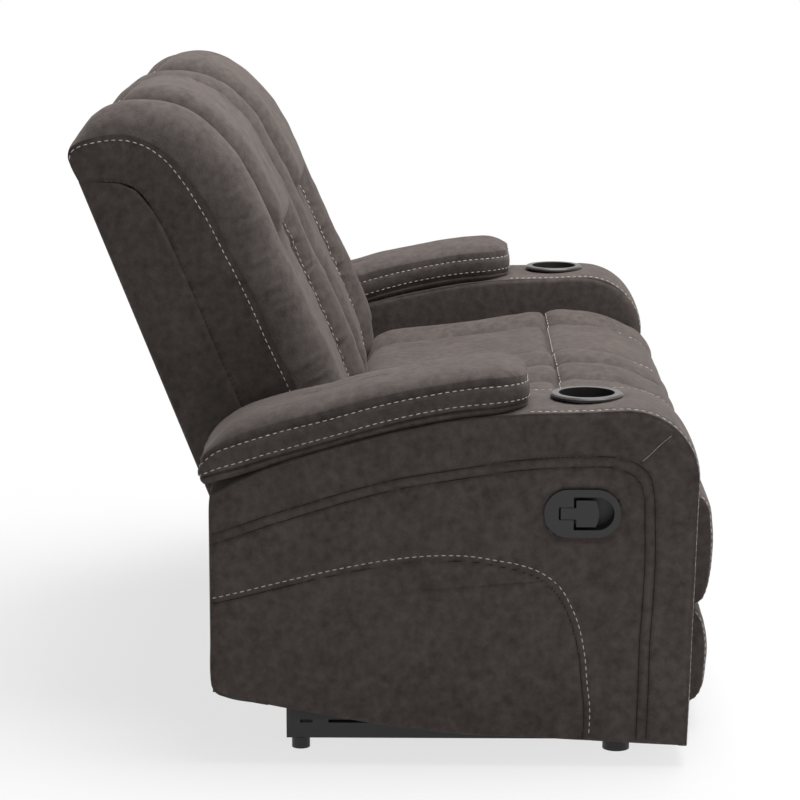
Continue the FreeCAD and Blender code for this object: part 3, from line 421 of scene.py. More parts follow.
def new_material(name, **shader):
    """A material with its shader set, its node tree, and its Object coordinates."""
    made = bpy.data.materials.new(name)
    made.use_nodes = True
    tree = made.node_tree
    for key, value in shader.items():
        tree.nodes["Principled BSDF"].inputs[key.replace("_", " ")].default_value = value
    place = node(tree, "ShaderNodeTexCoord", (-1500, 0))
    return made, tree, place.outputs["Object"]


def times(colour, factor):
    """A colour made lighter or darker."""
    return [v * factor for v in colour]


def set_ramp(ramp, low, high, start=0.0, end=1.0):
    """Sets a ramp's two colours and where they lie."""
    for stop, colour, place in zip(ramp.color_ramp.elements, (low, high), (start, end)):
        stop.position = place
        stop.color = (*colour, 1)


def shade(tree, **outputs):
    """Links outputs to the inputs of the material's shader."""
    for key, output in outputs.items():
        tree.links.new(output, tree.nodes["Principled BSDF"].inputs[key.replace("_", " ")])


def suede_cover(name, darker=1.0):
    """Microfibre suede: knitted polyester with a brushed nap, which gives a matte cover with
    cloudy lighter and darker patches, a soft bright edge and a fine leathery grain. Where the
    "seam" attribute is set, its colour is darkened as painted shade in a seam's groove; darker
    scales all its colours, for a shaded copy."""
    c = colours()
    made, tree, position = new_material(name, Roughness=0.86, Sheen_Weight=0.16,
                                        Sheen_Roughness=0.45, Specular_IOR_Level=0.18,
                                        Sheen_Tint=(*hex_colour("#CFC4BC"), 1))
    # Brushed patches of about 60 mm, broken up by streaks of about 14 mm.
    patches = node(tree, "ShaderNodeTexNoise", (-1200, 200), [(position, "Vector")],
                   Scale=16.0, Detail=5.0, Roughness=0.62, Distortion=0.6)
    streaks = node(tree, "ShaderNodeTexNoise", (-1200, -40), [(position, "Vector")],
                   Scale=70.0, Detail=4.0, Roughness=0.6)
    # The grain is about 1.6 mm, coarser than the real 0.6 mm so that it shows.
    grain = node(tree, "ShaderNodeTexNoise", (-1200, -280), [(position, "Vector")],
                 Scale=620.0, Detail=3.0, Roughness=0.7)
    pores = node(tree, "ShaderNodeTexVoronoi", (-1200, -520), [(position, "Vector")],
                 Scale=420.0)
    mixed = node(tree, "ShaderNodeMath", (-960, 120),
                 [(patches.outputs[0], 0), (0.6, 1), (streaks.outputs[0], 2)],
                 operation="MULTIPLY_ADD")
    ramp = node(tree, "ShaderNodeValToRGB", (-740, 160), [(mixed.outputs[0], "Fac")])
    set_ramp(ramp, times(times(c.cover, darker), 0.86), times(c.cover_nap, darker), 0.55, 1.05)
    fine = node(tree, "ShaderNodeMapRange", (-740, -240), [(grain.outputs[0], "Value")],
                From_Min=0.3, From_Max=0.7, To_Min=0.86, To_Max=1.12)
    grained = node(tree, "ShaderNodeMix", (-480, 120),
                   [(1.0, 0), (ramp.outputs[0], 6), (fine.outputs[0], 7)],
                   data_type="RGBA", blend_type="MULTIPLY")
    # Painted shade: the "seam" attribute darkens the colour to as little as 0.42 of itself in a
    # seam's groove.
    seam = node(tree, "ShaderNodeAttribute", (-740, -480), attribute_name="seam")
    shadow = node(tree, "ShaderNodeMapRange", (-480, -400), [(seam.outputs["Fac"], "Value")],
                  To_Min=1.0, To_Max=0.42)
    seam_shaded = node(tree, "ShaderNodeMix", (-240, 120),
                [(1.0, 0), (grained.outputs[2], 6), (shadow.outputs[0], 7)],
                data_type="RGBA", blend_type="MULTIPLY")
    height = node(tree, "ShaderNodeMath", (-740, -700),
                  [(grain.outputs[0], 0), (0.8, 1), (pores.outputs[0], 2)],
                  operation="MULTIPLY_ADD")
    bump = node(tree, "ShaderNodeBump", (-480, -700), [(height.outputs[0], "Height")],
                Strength=0.28, Distance=0.0009)
    shade(tree, Base_Color=seam_shaded.outputs[2], Normal=bump.outputs[0])
    return made


def thread_finish():
    """Polyester topstitching thread: off-white, twisted, slightly glossy."""
    thread = colours().thread
    made, tree, position = new_material("twisted polyester thread", Roughness=0.55)
    twist = node(tree, "ShaderNodeTexNoise", (-700, 0), [(position, "Vector")],
                 Scale=900.0, Detail=2.0)
    ramp = node(tree, "ShaderNodeValToRGB", (-480, 0), [(twist.outputs[0], "Fac")])
    set_ramp(ramp, times(thread, 0.72), thread, 0.3, 0.6)
    shade(tree, Base_Color=ramp.outputs[0])
    return made


def moulded_plastic(name, colour, roughness, grain_mm=0.8, depth=0.05):
    """Injection-moulded plastic: even colour with a fine spark-eroded grain."""
    made, tree, position = new_material(name, Roughness=roughness)
    grain = node(tree, "ShaderNodeTexNoise", (-700, 0), [(position, "Vector")],
                 Scale=1000.0 / grain_mm, Detail=2.0)
    ramp = node(tree, "ShaderNodeValToRGB", (-480, 100), [(grain.outputs[0], "Fac")])
    set_ramp(ramp, times(colour, 0.85), times(colour, 1.1))
    bump = node(tree, "ShaderNodeBump", (-480, -200), [(grain.outputs[0], "Height")],
                Strength=depth, Distance=0.0004)
    shade(tree, Base_Color=ramp.outputs[0], Normal=bump.outputs[0])
    return made


def powder_coat():
    """Powder-coated steel: black, satin, with a faint orange-peel surface."""
    steel = colours().steel
    made, tree, position = new_material("black powder-coated steel", Roughness=0.42)
    peel = node(tree, "ShaderNodeTexNoise", (-700, 0), [(position, "Vector")],
                Scale=400.0, Detail=2.0)
    dust = node(tree, "ShaderNodeTexNoise", (-700, 250), [(position, "Vector")],
                Scale=25.0, Detail=4.0)
    ramp = node(tree, "ShaderNodeValToRGB", (-480, 200), [(dust.outputs[0], "Fac")])
    set_ramp(ramp, times(steel, 0.8), times(steel, 1.3))
    bump = node(tree, "ShaderNodeBump", (-480, -200), [(peel.outputs[0], "Height")],
                Strength=0.12, Distance=0.0003)
    shade(tree, Base_Color=ramp.outputs[0], Normal=bump.outputs[0])
    return made


def sawn_timber():
    """Sawn softwood: pale brown with darker growth rings about 6 mm apart."""
    timber = colours().timber
    made, tree, position = new_material("sawn softwood", Roughness=0.7)
    turn = node(tree, "ShaderNodeMapping", (-900, 0),
                [(position, "Vector"), ((0.12, 1.0, 1.0), "Scale")])
    rings = node(tree, "ShaderNodeTexWave", (-700, 0), [(turn.outputs[0], "Vector")],
                 Scale=26.0, Distortion=3.0, Detail=3.0)
    ramp = node(tree, "ShaderNodeValToRGB", (-480, 0), [(rings.outputs[1], "Fac")])
    set_ramp(ramp, times(timber, 0.62), timber)
    shade(tree, Base_Color=ramp.outputs[0])
    return made


def woven_webbing():
    """Elastic seat webbing: black, woven, with ribs about 2 mm apart."""
    made, tree, position = new_material("woven elastic webbing", Roughness=0.8)
    ribs = node(tree, "ShaderNodeTexWave", (-700, 0), [(position, "Vector")],
                Scale=160.0, bands_direction="Y")
    ramp = node(tree, "ShaderNodeValToRGB", (-480, 0), [(ribs.outputs[1], "Fac")])
    set_ramp(ramp, hex_colour("#141414"), hex_colour("#333230"))
    shade(tree, Base_Color=ramp.outputs[0])
    return made


FINISH = {}


def finish(name):
    """The shared finishes, made when first asked for."""
    if not FINISH:
        c = colours()
        FINISH["cover"] = suede_cover("brushed microfibre suede")
        # A shaded copy of the suede at 0.18 of its colour, for the cords that paint shade in the
        # seams' grooves.
        FINISH["seam"] = suede_cover("suede in a seam", 0.18)
        FINISH["thread"] = thread_finish()
        FINISH["handle"] = moulded_plastic("moulded ABS, black", list(c.plastic), 0.38)
        FINISH["cup"] = moulded_plastic("moulded ABS, dark grey", hex_colour("#2E2B2A"), 0.36)
        FINISH["foot"] = moulded_plastic("moulded polypropylene, black", hex_colour("#161616"), 0.5)
        FINISH["sheath"] = moulded_plastic("PVC cable sheath", hex_colour("#151515"), 0.35)
        FINISH["steel"] = powder_coat()
        FINISH["timber"] = sawn_timber()
        FINISH["webbing"] = woven_webbing()
        FINISH["stain"] = moulded_plastic("black-stained softwood", hex_colour("#121110"), 0.6, 4)
    return FINISH[name]


def place_piece(piece, body, slot, *nodes, fill=None):
    """Puts a piece on its body, in place of its CAD nodes."""
    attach(piece, body)
    if nodes:
        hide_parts(*nodes)
    return piece


def sew(name, lines, side, body):
    """Lays topstitching along lines of (places, normals)."""
    place_piece(stitches(f"{name}_{side}", lines, side, finish("thread")), body, "upholstery")


# Arms

ARM_IN, ARM_OUT = 600.0, 800.0
ARM_WIDE = ARM_OUT - ARM_IN


def arm_line(step=4.0, grow=0.0):
    """The arm's front and top edge, from the floor by the front to the rear."""
    front = [(461 + grow, 34), (465 + grow, 160), (469 + grow, 300)]
    corner = list(arc((364, 458), 110 + grow, -4, 90, 24))
    top = [(297, 565.5), (198, 562.5), (123, 554.5), (48, 541.5), (-28, 524.5), (-103, 504),
           (-178, 480), (-235, 456), (-282, 431)]
    return smooth_line(front + corner + [(s, z + grow) for s, z in top], step, 12)


def arm_belly(step=4.0):
    """The lower edge of the arm's side, from the rear to the front."""
    rear = [(-282, 431), (-282, 300), (-282, 150)]
    corner = list(arc((-262, 132), 20, 180, 250, 6))
    low = [(-194, 98), (-93, 79), (75, 54), (250, 45), (400, 37), (461, 34)]
    return np.vstack([even_line(np.array(rear, float), step),
                      smooth_line([(-282, 134)] + corner[1:] + low, step)[1:]])


PIPING = [(-283, 370), (-230, 389), (-178, 407), (-120, 425), (-65, 442), (10, 461), (86, 474),
          (160, 486), (217, 493), (292, 497), (344, 496), (369, 490), (385, 481), (398, 466),
          (404, 443), (407, 390), (408, 332), (405, 260), (402, 208), (400, 120), (398, 45)]
PIPING_IN = [(-283, 354), (-230, 373), (-178, 391), (-120, 409), (-65, 426), (10, 445),
             (86, 458), (160, 470), (217, 477), (292, 481), (340, 480), (360, 475), (373, 467),
             (383, 455), (388, 440), (391, 390), (392, 332), (389, 260), (386, 208),
             (384, 120), (382, 46)]
CURVE = [(-282, 269), (-216, 286), (-140, 305), (-65, 322), (10, 335), (67, 340), (123, 339),
         (161, 333), (198, 326), (236, 311), (262, 289), (278, 261), (288, 237), (300, 184),
         (305, 133), (309, 99), (308, 44)]
CURVE_IN = [(-282, 260), (-216, 277), (-140, 296), (-65, 313), (10, 326), (67, 331), (123, 330),
            (158, 324.5), (194, 317), (229, 303), (253, 283), (269, 257), (279, 233), (291, 182),
            (296, 133), (300, 99), (299, 44)]
MITRE = [(386, 490), (400, 503), (414, 517), (430, 530)]
BEZEL = (295.0, 407.0)
BEZEL_LENGTH, BEZEL_TALL = 119.0, 76.0
BEZEL_LAP = 5.5  # how far the bezel lies over the cover
PANEL_HEART = np.array([(-110.0, 270.0), (285.0, 300.0)])  # the side's rings close in on this
CUP_PLACE, CUP_HOLE = (700, 304), 51.5
PAD_END = 205  # where the arm pad leaves the boxing strip free


def bezel_distance(forward, up):
    """How far a point lies outside the release's bezel, an oval with half-round ends."""
    across = np.maximum(np.abs(forward - BEZEL[0]) - (BEZEL_LENGTH - BEZEL_TALL) / 2, 0)
    return np.hypot(across, up - BEZEL[1]) - BEZEL_TALL / 2


def panel_height(points, rim):
    """How far the outer side panel stands out at points (forward, up), and how dark it is painted
    as shade in its seams' grooves.
    """
    depth = sizes().seam_depth * 0.75
    edge, _ = line_distance(points, rim)
    height = 5.2 * (1 - np.exp(-edge / 9)) + 1.4 * ease(edge, 10, 70)
    # seam is painted shade, darkest in the grooves of the piping, the mitre and the inner curved
    # seam.
    seam = np.zeros(len(points))
    piping = []
    for line, share, width in ((PIPING, 1.0, 3.6), (PIPING_IN, 1.0, 3.6), (MITRE, 0.6, 3.5)):
        away, along = line_distance(points, smooth_line(line, 6))
        height -= depth * share * groove(away, width)
        seam = np.maximum(seam, 0.55 * share * groove(away, 3.0))
        piping.append((away, along))
    between = np.exp(-((piping[0][0] + piping[1][0] - 16) / 7) ** 2)
    height += between * (0.9 + 0.8 * soft_noise(piping[0][1], piping[0][0], 11, 40, 5))
    for away, along in piping[:2]:
        height += 0.5 * pucker(along, away, 9, 11, 10) * (away > 2)
    away, _ = line_distance(points, smooth_line(CURVE, 6))
    height -= 1.0 * groove(away, 4.5)
    away, along = line_distance(points, smooth_line(CURVE_IN, 6))
    height -= 1.9 * groove(away, 3.4) - 0.5 * pucker(along, away, 14, 23, 16)
    seam = np.maximum(seam, 0.5 * groove(away, 2.8))
    forward, up = points[:, 0], points[:, 1]
    height += 0.9 * soft_noise(forward, up, 150, 110, 7) + 0.35 * soft_noise(forward, up, 46, 30, 8)
    oval = bezel_distance(forward, up)
    near = 1 - ease(oval, 1, 20)
    crumple = 0.8 * soft_noise(forward, up, 14, 9, 31) * np.exp(-np.abs(oval - 9) / 9)
    height = height * (1 - near) + near * 1.2 + crumple
    return np.maximum(height, 0.15), seam


def arm_rim():
    """The rim of an arm's outer side, all the way round."""
    return np.vstack([arm_line(3.6, -0.5), arm_belly(3.6)[1:-1]])


def rings_towards(rim, heart, share):
    """The rim drawn in towards its heart, in one ring for each share of the way."""
    share = share[:, None, None]
    return rim[None] * (1 - share) + heart * share


def arm_side_cover(side):
    """The padded outer side of an arm, with its hole for the release."""
    rim = arm_rim()
    run = PANEL_HEART[1] - PANEL_HEART[0]
    t = np.clip((rim - PANEL_HEART[0]) @ run / (run @ run), 0, 1)
    heart = PANEL_HEART[0] + t[:, None] * run
    points = rings_towards(rim, heart, np.r_[0, np.linspace(0.012, 0.5, 34),
                                             np.linspace(0.53, 0.985, 24)])
    height, seam = panel_height(points.reshape(-1, 2), looped(rim))
    front = place_at(-(ARM_OUT - 2.0 + height.reshape(points.shape[:2])), points)
    rear = place_at(-(ARM_OUT - 8.0),
                    rings_towards(rim, heart, np.r_[0, np.linspace(0.05, 0.985, 16)]))
    # Painted shade in the seams' grooves; none on the hidden rear.
    seam = np.concatenate([np.zeros(rear.shape[:2]), seam.reshape(points.shape[:2])], 0)
    piece = cover_piece("arm_side_cover", side, np.concatenate([rear[::-1], front], 0), seam)
    cut_faces(piece, behind_bezel, bridge=True)
    return piece


def cut_faces(piece, inside, bridge=False):
    """Takes faces out of a cover and, with bridge, joins the two rims that this leaves."""
    bm = bmesh.new()
    bm.from_mesh(piece.data)
    bmesh.ops.delete(bm, geom=[face for face in bm.faces if inside(face)], context="FACES")
    if bridge:
        bmesh.ops.bridge_loops(bm, edges=[edge for edge in bm.edges if edge.is_boundary])
    bm.to_mesh(piece.data)
    bm.free()


def behind_bezel(face):
    """Whether a face reaches behind the release's bezel, inside the edge that it covers."""
    return any(bezel_distance(-vert.co.y / MM, vert.co.z / MM) < -BEZEL_LAP
               for vert in face.verts)


def under_cup(face):
    """Whether a face lies under the cup holder's rim."""
    x, y, z = face.calc_center_median() / MM
    return math.hypot(abs(x) - CUP_PLACE[0], y + CUP_PLACE[1]) < CUP_HOLE and z > 480


def on_panel(line, rim):
    """A line on the outer side panel, with its normals."""
    fine = smooth_line(line, 5)
    height, _ = panel_height(fine, rim)
    return place_at(-(ARM_OUT - 2.0 + height), fine), np.tile([-1.0, 0, 0], (len(fine), 1))


def arm_boxing_cover(side):
    """The crowned strip over an arm's top and front, and the lines of its stitching."""
    swell = sizes().crown
    edge = arm_line(4.0)
    inner = edge - side_normals(edge) * 12
    top = np.array([0, 1.2, 3, 5.5, 9, 13, 18, 25, 34, 46, 60, 78, 100, 122, 140, 154, 166, 175,
                    182, 187, 191, 194.5, 197, 198.8, 200.0])

    def rise(length, x):
        away = np.minimum(x, ARM_WIDE - x)
        crown = swell * (1 - np.exp(-away / 16)) + 0.6 * ease(away, 30, 90)
        crown = crown + 0.7 * pucker(length, away, 12, 41, 14) * (away > 1.5)
        crown = crown - 1.0 * groove(away - 9, 2.6)
        return crown + 0.5 * soft_noise(length, x, 90, 60, 43) * ease(away, 2, 20)

    places = sewn_strip(edge, inner, ARM_WIDE, top, rise)
    places[..., 0] -= ARM_OUT
    normals = surface_normals(places, facing(edge))
    # Painted shade along the strip's two sewn edges.
    piece = cover_piece("arm_boxing_cover", side, places,
                        painted_seam_shade(places, top, (0.0, ARM_WIDE), 1.6))
    cut_faces(piece, under_cup)
    middle = places[:, BOXING + len(top) // 2]
    rows = slice(0, int(np.argmax(middle[:, 1] > -PAD_END)))
    return piece, [line_at(places, normals, column_of(top, x), rows) for x in (9, 191)]


def arm_inner_cover(side):
    """The plain padded inner side of an arm."""
    low = np.array([(-282.0, 110.0), (200.0, 76.0), (462.0, 76.0)])
    rim = even_line(looped(np.vstack([arm_line(7, -0.5)[4:], low])), 7)[:-1]
    points = rings_towards(rim, np.array([120.0, 300.0]), np.linspace(0, 0.985, 30))
    flat = points.reshape(-1, 2)
    edge, _ = line_distance(flat, looped(rim))
    swell = 2.1 * (1 - np.exp(-edge / 12)) + 0.4 * soft_noise(flat[:, 0], flat[:, 1], 80, 60, 3)
    swell = np.minimum(swell.reshape(points.shape[:2]), 2.6)
    front = place_at(-(ARM_IN - swell), points)
    rear = front[::6][::-1].copy()
    rear[..., 0] = -(ARM_IN + 6)
    return cover_piece("arm_inner_cover", side, np.concatenate([rear, front], 0))


def arm_rear_cover(side):
    """The strip of cover down an arm's rear end and round its lower corner."""
    edge = smooth_line([(-194, 98), (-225, 103.5), (-250, 109)]
                       + list(arc((-262, 132), 20, 250, 180, 7))
                       + [(-282, 200), (-282, 300), (-282, 380), (-282, 431)], 4)
    normal = -side_normals(edge)
    length = line_length(edge)[:, None]
    x = np.array([0, 1.5, 4, 8, 15, 30, 50, 75, 100, 125, 150, 170, 185, 192, 196, 198.5, 200.0])
    away = np.minimum(x, ARM_WIDE - x)[None, :]
    ends = 1 - np.exp(-np.minimum(length, length[-1] - length) / 10)
    depth = 3.6 * (1 - np.exp(-away / 9)) * ends + 0.5 * soft_noise(length, x[None, :], 80, 60, 9)
    depth = np.maximum(depth, 0.2)
    outer = edge[:, None, :] + normal[:, None, :] * depth[..., None]
    inner = (edge[:, None, :] - normal[:, None, :] * 4).repeat(4, 1)
    across = np.concatenate([x, [199, 140, 60, 1]])
    return cover_piece("arm_rear_cover", side,
                       place_at(across - ARM_OUT, np.concatenate([outer, inner], 1)))


# Arm pads

PAD_UPPER = [(-300, 476), (-286, 492), (-272, 503), (-244, 514), (-178, 535), (-103, 554),
             (-28, 575), (48, 592), (123, 604), (198, 609), (216, 609)]
PAD_LOWER = [(-300, 458), (-286, 463), (-244, 474), (-178, 494), (-103, 516), (-28, 538),
             (48, 556), (123, 568), (198, 574), (216, 574)]
PAD_CREST = [(-300, 498), (-280, 516), (-238, 545), (-184, 564), (-103, 583), (-57, 597),
             (14, 612), (86, 625), (143, 632), (193, 633), (216, 631)]


def height_on(line, forward):
    """How high a side line of points (forward, up) is at each place."""
    fine = smooth_line(line, 4)
    return np.interp(forward, fine[:, 0], fine[:, 1])


def rounded_plan(rear, front, low, high, radii, step):
    """A plan outline with its own radius at each corner, as evenly spaced points."""
    corners = [(front, high), (rear, high), (rear, low), (front, low)]
    turns = [(0, 90), (90, 180), (180, 270), (270, 360)]
    points = []
    for (a, b), (start, end), radius in zip(corners, turns, radii):
        centre = (a - math.copysign(radius, a - (rear + front) / 2),
                  b - math.copysign(radius, b - (low + high) / 2))
        points.append(arc(centre, radius, start, end, 14))
    return even_line(looped(np.vstack(points)), step)[:-1]


def arm_pad_cover(side):
    """A boxed cushion on the arm: boxing between two stitched seams, and a crowned top."""
    rear, front = -300.0, 213.0
    corners = (58, 18, 18, 58)
    step = 3.6
    count = len(rounded_plan(rear, front, 1, 199, corners, step))

    def ring(inset):
        radii = [max(r - inset, 1.5) for r in corners]
        plan = rounded_plan(rear + inset, front - inset, 1 + inset, 199 - inset, radii, step)
        return even_line(looped(plan), 1, count + 1)[:-1]

    # Under the lower seam a ring has its lift in mm, and between the seams as a share.
    rings = []
    for inset, lift in ((14, -14), (7, -12), (3, -6), (1.8, -1.5), (3.2, 0)):
        plan = ring(inset)
        rings.append((plan, height_on(PAD_LOWER, plan[:, 0]) + lift))
    for inset, lift in ((0.8, 0.14), (-0.6, 0.3), (-1.0, 0.5), (-0.6, 0.7), (0.8, 0.88), (3.0, 1)):
        plan = ring(inset)
        low, high = height_on(PAD_LOWER, plan[:, 0]), height_on(PAD_UPPER, plan[:, 0])
        rings.append((plan, low + (high - low) * lift))
    for inset in (3.6, 5.5, 8.5, 12, 16, 21, 27, 34, 42, 51, 61, 72, 83, 93, 97.5):
        plan = ring(inset)
        high, crest = height_on(PAD_UPPER, plan[:, 0]), height_on(PAD_CREST, plan[:, 0])
        share = math.sqrt(max(0.0, 1 - (1 - min(inset / 62, 1)) ** 2.3))
        rings.append((plan, high + (crest - high) * share))
    places = np.array([np.stack([plan[:, 1] - ARM_OUT, -plan[:, 0], z], 1) for plan, z in rings])
    outward = (places - np.array([-700.0, 40.0, 550.0])) * np.array([1, 0.4, 1])
    normals = surface_normals(close(places), close(outward))[:, :-1]
    upper_seam, lower_seam = 10, 4
    row = np.arange(len(places))[:, None]
    along = line_length(places[lower_seam])[None, :]
    away_top, away_low = np.abs(row - upper_seam) * 3.2, np.abs(row - lower_seam) * 4.0
    end = ease(-places[..., 1], 130, 205)
    push = (0.5 + 1.3 * end) * pucker(along + 0 * away_top, away_top, 12, 61, 12) * (away_top > 2)
    push[:upper_seam] *= 0.35
    push += 0.3 * pucker(along + 0 * away_low, away_low, 10, 63, 13) * (away_low > 2)
    push += 0.8 * soft_noise(places[..., 1], places[..., 0], 70, 50, 65)
    push += 0.4 * soft_noise(places[..., 1], places[..., 0] + places[..., 2], 24, 18, 66)
    push -= 1.6 * groove(away_top, 2.2) + 1.4 * groove(away_low, 2.2)
    push[:lower_seam] = 0
    moved = places + normals * push[..., None]
    # Painted shade along the rows of the upper and lower seams.
    seam = np.zeros(places.shape[:2])
    seam[upper_seam], seam[lower_seam] = 0.55, 0.5
    piece = cover_piece("arm_pad_cover", side, moved, seam)
    lines = [(looped(moved[at] * 0.4 + moved[beside] * 0.6), looped(normals[beside]))
             for at, beside in ((upper_seam, upper_seam - 1), (lower_seam + 1, lower_seam + 2))]
    return piece, lines


# Seats. A cushion, a back and a footrest pad are all as wide as the seat.

SEAT_WIDE = 594.0
SEAT_MIDDLE = SEAT_WIDE / 2
SEAT_START = ARM_IN - 3  # X of a seat's outer edge, with the gap beside the arm
SEAT_EDGE = [(405, 388), (430, 394), (455, 402), (472, 409), (482, 417), (484, 427), (480, 438),
             (471, 450), (458, 461), (437, 469), (408, 477), (369, 483), (330, 484), (300, 482),
             (284, 478), (265, 478), (235, 476), (160, 466), (90, 457), (30, 450), (-20, 445),
             (-44, 440), (-60, 424), (-76, 403)]
SEAT_SEAMS = (139.6, 454.4)
STITCH_BESIDE = 5.5  # from a long seam to its topstitching


def cushion_columns(seams, bolster_end, panel_start, panel_count):
    """Columns across a seat, closer together beside its edges and its two long seams."""
    edge = np.array([0, 1.5, 4, 7.5, 12, 18, 25, 33])
    bolster = np.linspace(42, bolster_end, 9)
    beside = np.array([-20, -14, -9.5, -6, -3.2, -1.2, 0, 1.2, 3.2, 6, 9.5, 14, 20])
    panel = np.linspace(panel_start, SEAT_WIDE - panel_start, panel_count)
    return np.sort(np.concatenate([edge, bolster, seams[0] + beside, seams[1] + beside, panel,
                                   SEAT_WIDE - bolster, SEAT_WIDE - edge]))


def seat_columns():
    """The columns of a seat, and of the footrest pads below it."""
    return cushion_columns(SEAT_SEAMS, 112, 170, 30)


def seat_cover(side):
    """A seat cushion: two bolsters and a middle panel, with a cross seam before the knee."""
    gather = sizes().gather_depth
    edge = smooth_line(SEAT_EDGE, 3.6)
    length = line_length(edge)
    inner = np.stack([np.interp(length, [0, length[-1]], [404, -76]),
                      np.minimum(387.0, edge[:, 1] - 0.5)], 1)
    top = seat_columns()
    seam_at = float(length[np.argmin(np.abs(edge[:, 0] - 284) + 100 * (edge[:, 1] < 460))])
    shape = [(0, 0), (4, 7), (12, 14), (25, 20.5), (45, 25.5), (72, 27.5), (100, 24), (122, 17),
             (134, 10), (139.6, 6.5), (146, 11), (160, 15.5), (200, 17), (297, 18.5), (394, 17),
             (434, 15.5), (448, 11), (454.4, 6.5), (460, 10), (472, 17), (494, 24), (522, 27.5),
             (549, 25.5), (569, 20.5), (582, 14), (590, 7), (594, 0)]


    def from_cross_seam(t, x):
        """The cross seam steps forward by 6 mm in the middle panel."""
        return t - seam_at - 6 * (np.abs(x - SEAT_MIDDLE) < 157)

    def rise(t, x):
        fade = knots(t, [(0, 0), (40, 0.14), (80, 0.26), (120, 0.34), (162, 0.52), (200, 0.8),
                         (240, 1), (length[-1] - 70, 1), (length[-1] - 25, 0.5),
                         (length[-1], 0.1)])
        away = from_cross_seam(t, x)
        value = knots(x, shape) * fade
        value = value - 7.5 * groove(away, 7) * ease(np.minimum(x, SEAT_WIDE - x), 0, 14)
        value = value + 3.2 * np.exp(-((away - 28) / 20) ** 2)
        value = value + 3.2 * np.exp(-((away + 30) / 22) ** 2)
        for seam in SEAT_SEAMS:
            value = value + gather * fade * pucker(t, x - seam, 17, 71 + int(seam), 15) * (
                np.abs(x - seam) > 1.5)
        value = value + 1.0 * pucker(x, away, 16, 77, 20) * (np.abs(away) > 2)
        value = value + 1.5 * soft_noise(t, x, 95, 80, 78) * fade
        return value + 0.55 * soft_noise(t, x, 30, 26, 79) * fade

    places = sewn_strip(edge, inner, SEAT_WIDE, top, rise, 1.5)
    places[..., 0] -= SEAT_START
    normals = surface_normals(places, facing(edge))
    # Painted shade in the grooves of the long seams and the cross seam.
    seam = painted_seam_shade(places, top, SEAT_SEAMS, 2.4)
    near = seam[:, BOXING:BOXING + len(top)]
    np.maximum(near, 0.75 * groove(from_cross_seam(length[:, None], top[None]), 2.6), out=near)
    piece = cover_piece("seat_cover", side, places, seam)
    lines = [line_at(places, normals, column_of(top, x), slice(8, len(edge) - 20))
             for x in (SEAT_SEAMS[0] + STITCH_BESIDE, SEAT_SEAMS[1] - STITCH_BESIDE)]
    row = int(np.argmin(np.abs(length - seam_at)))
    for at, low, high in ((row - 2, 3, 137), (row - 1, 143, 451), (row - 2, 458, 591)):
        picks = [BOXING + i for i, x in enumerate(top) if low <= x <= high]
        lines.append((places[at, picks], normals[at, picks]))
    return piece, lines


# Backs, in the leaning frame of the CAD model: (square to the front, along the lean).

LEAN = math.radians(24)
FOOT = np.array([-204.0, 418.0])
BACK_EDGE = [(20, 0), (52, -20), (74, -30), (90, -14), (96, 20), (98, 100), (97.5, 200),
             (95, 343), (88, 434), (78, 503), (66, 542), (46, 573), (22, 592), (0, 602),
             (-30, 610), (-54, 613), (-67, 610), (-74, 600), (-76, 586), (-75, 556)]
BACK_INNER = [(8.5, 2), (8.5, 2), (8.5, 4), (8.5, 8), (8.5, 24), (8.5, 100), (11, 200), (16, 343),
              (17, 434), (14, 470), (10, 492), (4, 508), (-4, 520), (-14, 528), (-32, 538),
              (-46, 544), (-54, 547), (-62, 549), (-67, 551), (-71, 553)]
BACK_SEAMS = (134.0, 460.0)


def lean(points):
    """Leaning coordinates as (forward, up)."""
    points = np.asarray(points, float)
    return FOOT + np.stack([points[..., 0] * math.cos(LEAN) - points[..., 1] * math.sin(LEAN),
                            points[..., 0] * math.sin(LEAN) + points[..., 1] * math.cos(LEAN)], -1)


def paired_lines(first, second, step):
    """Two smooth lines through matching points, with matching rows."""
    line = curve_through(np.concatenate([np.array(first, float), np.array(second, float)], 1))
    length = line_length(line[:, :2])
    places = np.linspace(0, length[-1], int(length[-1] / step) + 1)
    line = np.stack([np.interp(places, length, line[:, k]) for k in range(4)], 1)
    return line[:, :2], line[:, 2:]


def back_lines():
    """The front edge of a back's boxing and the edge that is sewn to its shell."""
    return paired_lines(lean(BACK_EDGE), lean(BACK_INNER), 3.4)


BACK_SHAPE = [(0, 0), (3, 12), (8, 24), (16, 38), (28, 52), (44, 63), (64, 70), (82, 71), (102, 66),
              (120, 55), (130, 45), (134, 40), (140, 43), (152, 47), (175, 48), (297, 49),
              (419, 48), (442, 47), (454, 43), (460, 40), (464, 45), (474, 55), (492, 66),
              (512, 71), (530, 70), (550, 63), (566, 52), (578, 38), (586, 24), (591, 12), (594, 0)]


def back_amount(t, total):
    """How much of the full crown a back has, from its foot over the top to the rear."""
    return knots(t, [(0, 0.0), (30, 0.32), (70, 0.76), (130, 0.98), (220, 1.04), (420, 1.06),
                     (514, 1.15), (584, 1.17), (640, 1.07), (665, 0.98), (690, 0.84), (712, 0.74),
                     (745, 0.6), (772, 0.4), (790, 0.15), (806, 0.04), (total, 0.0)])


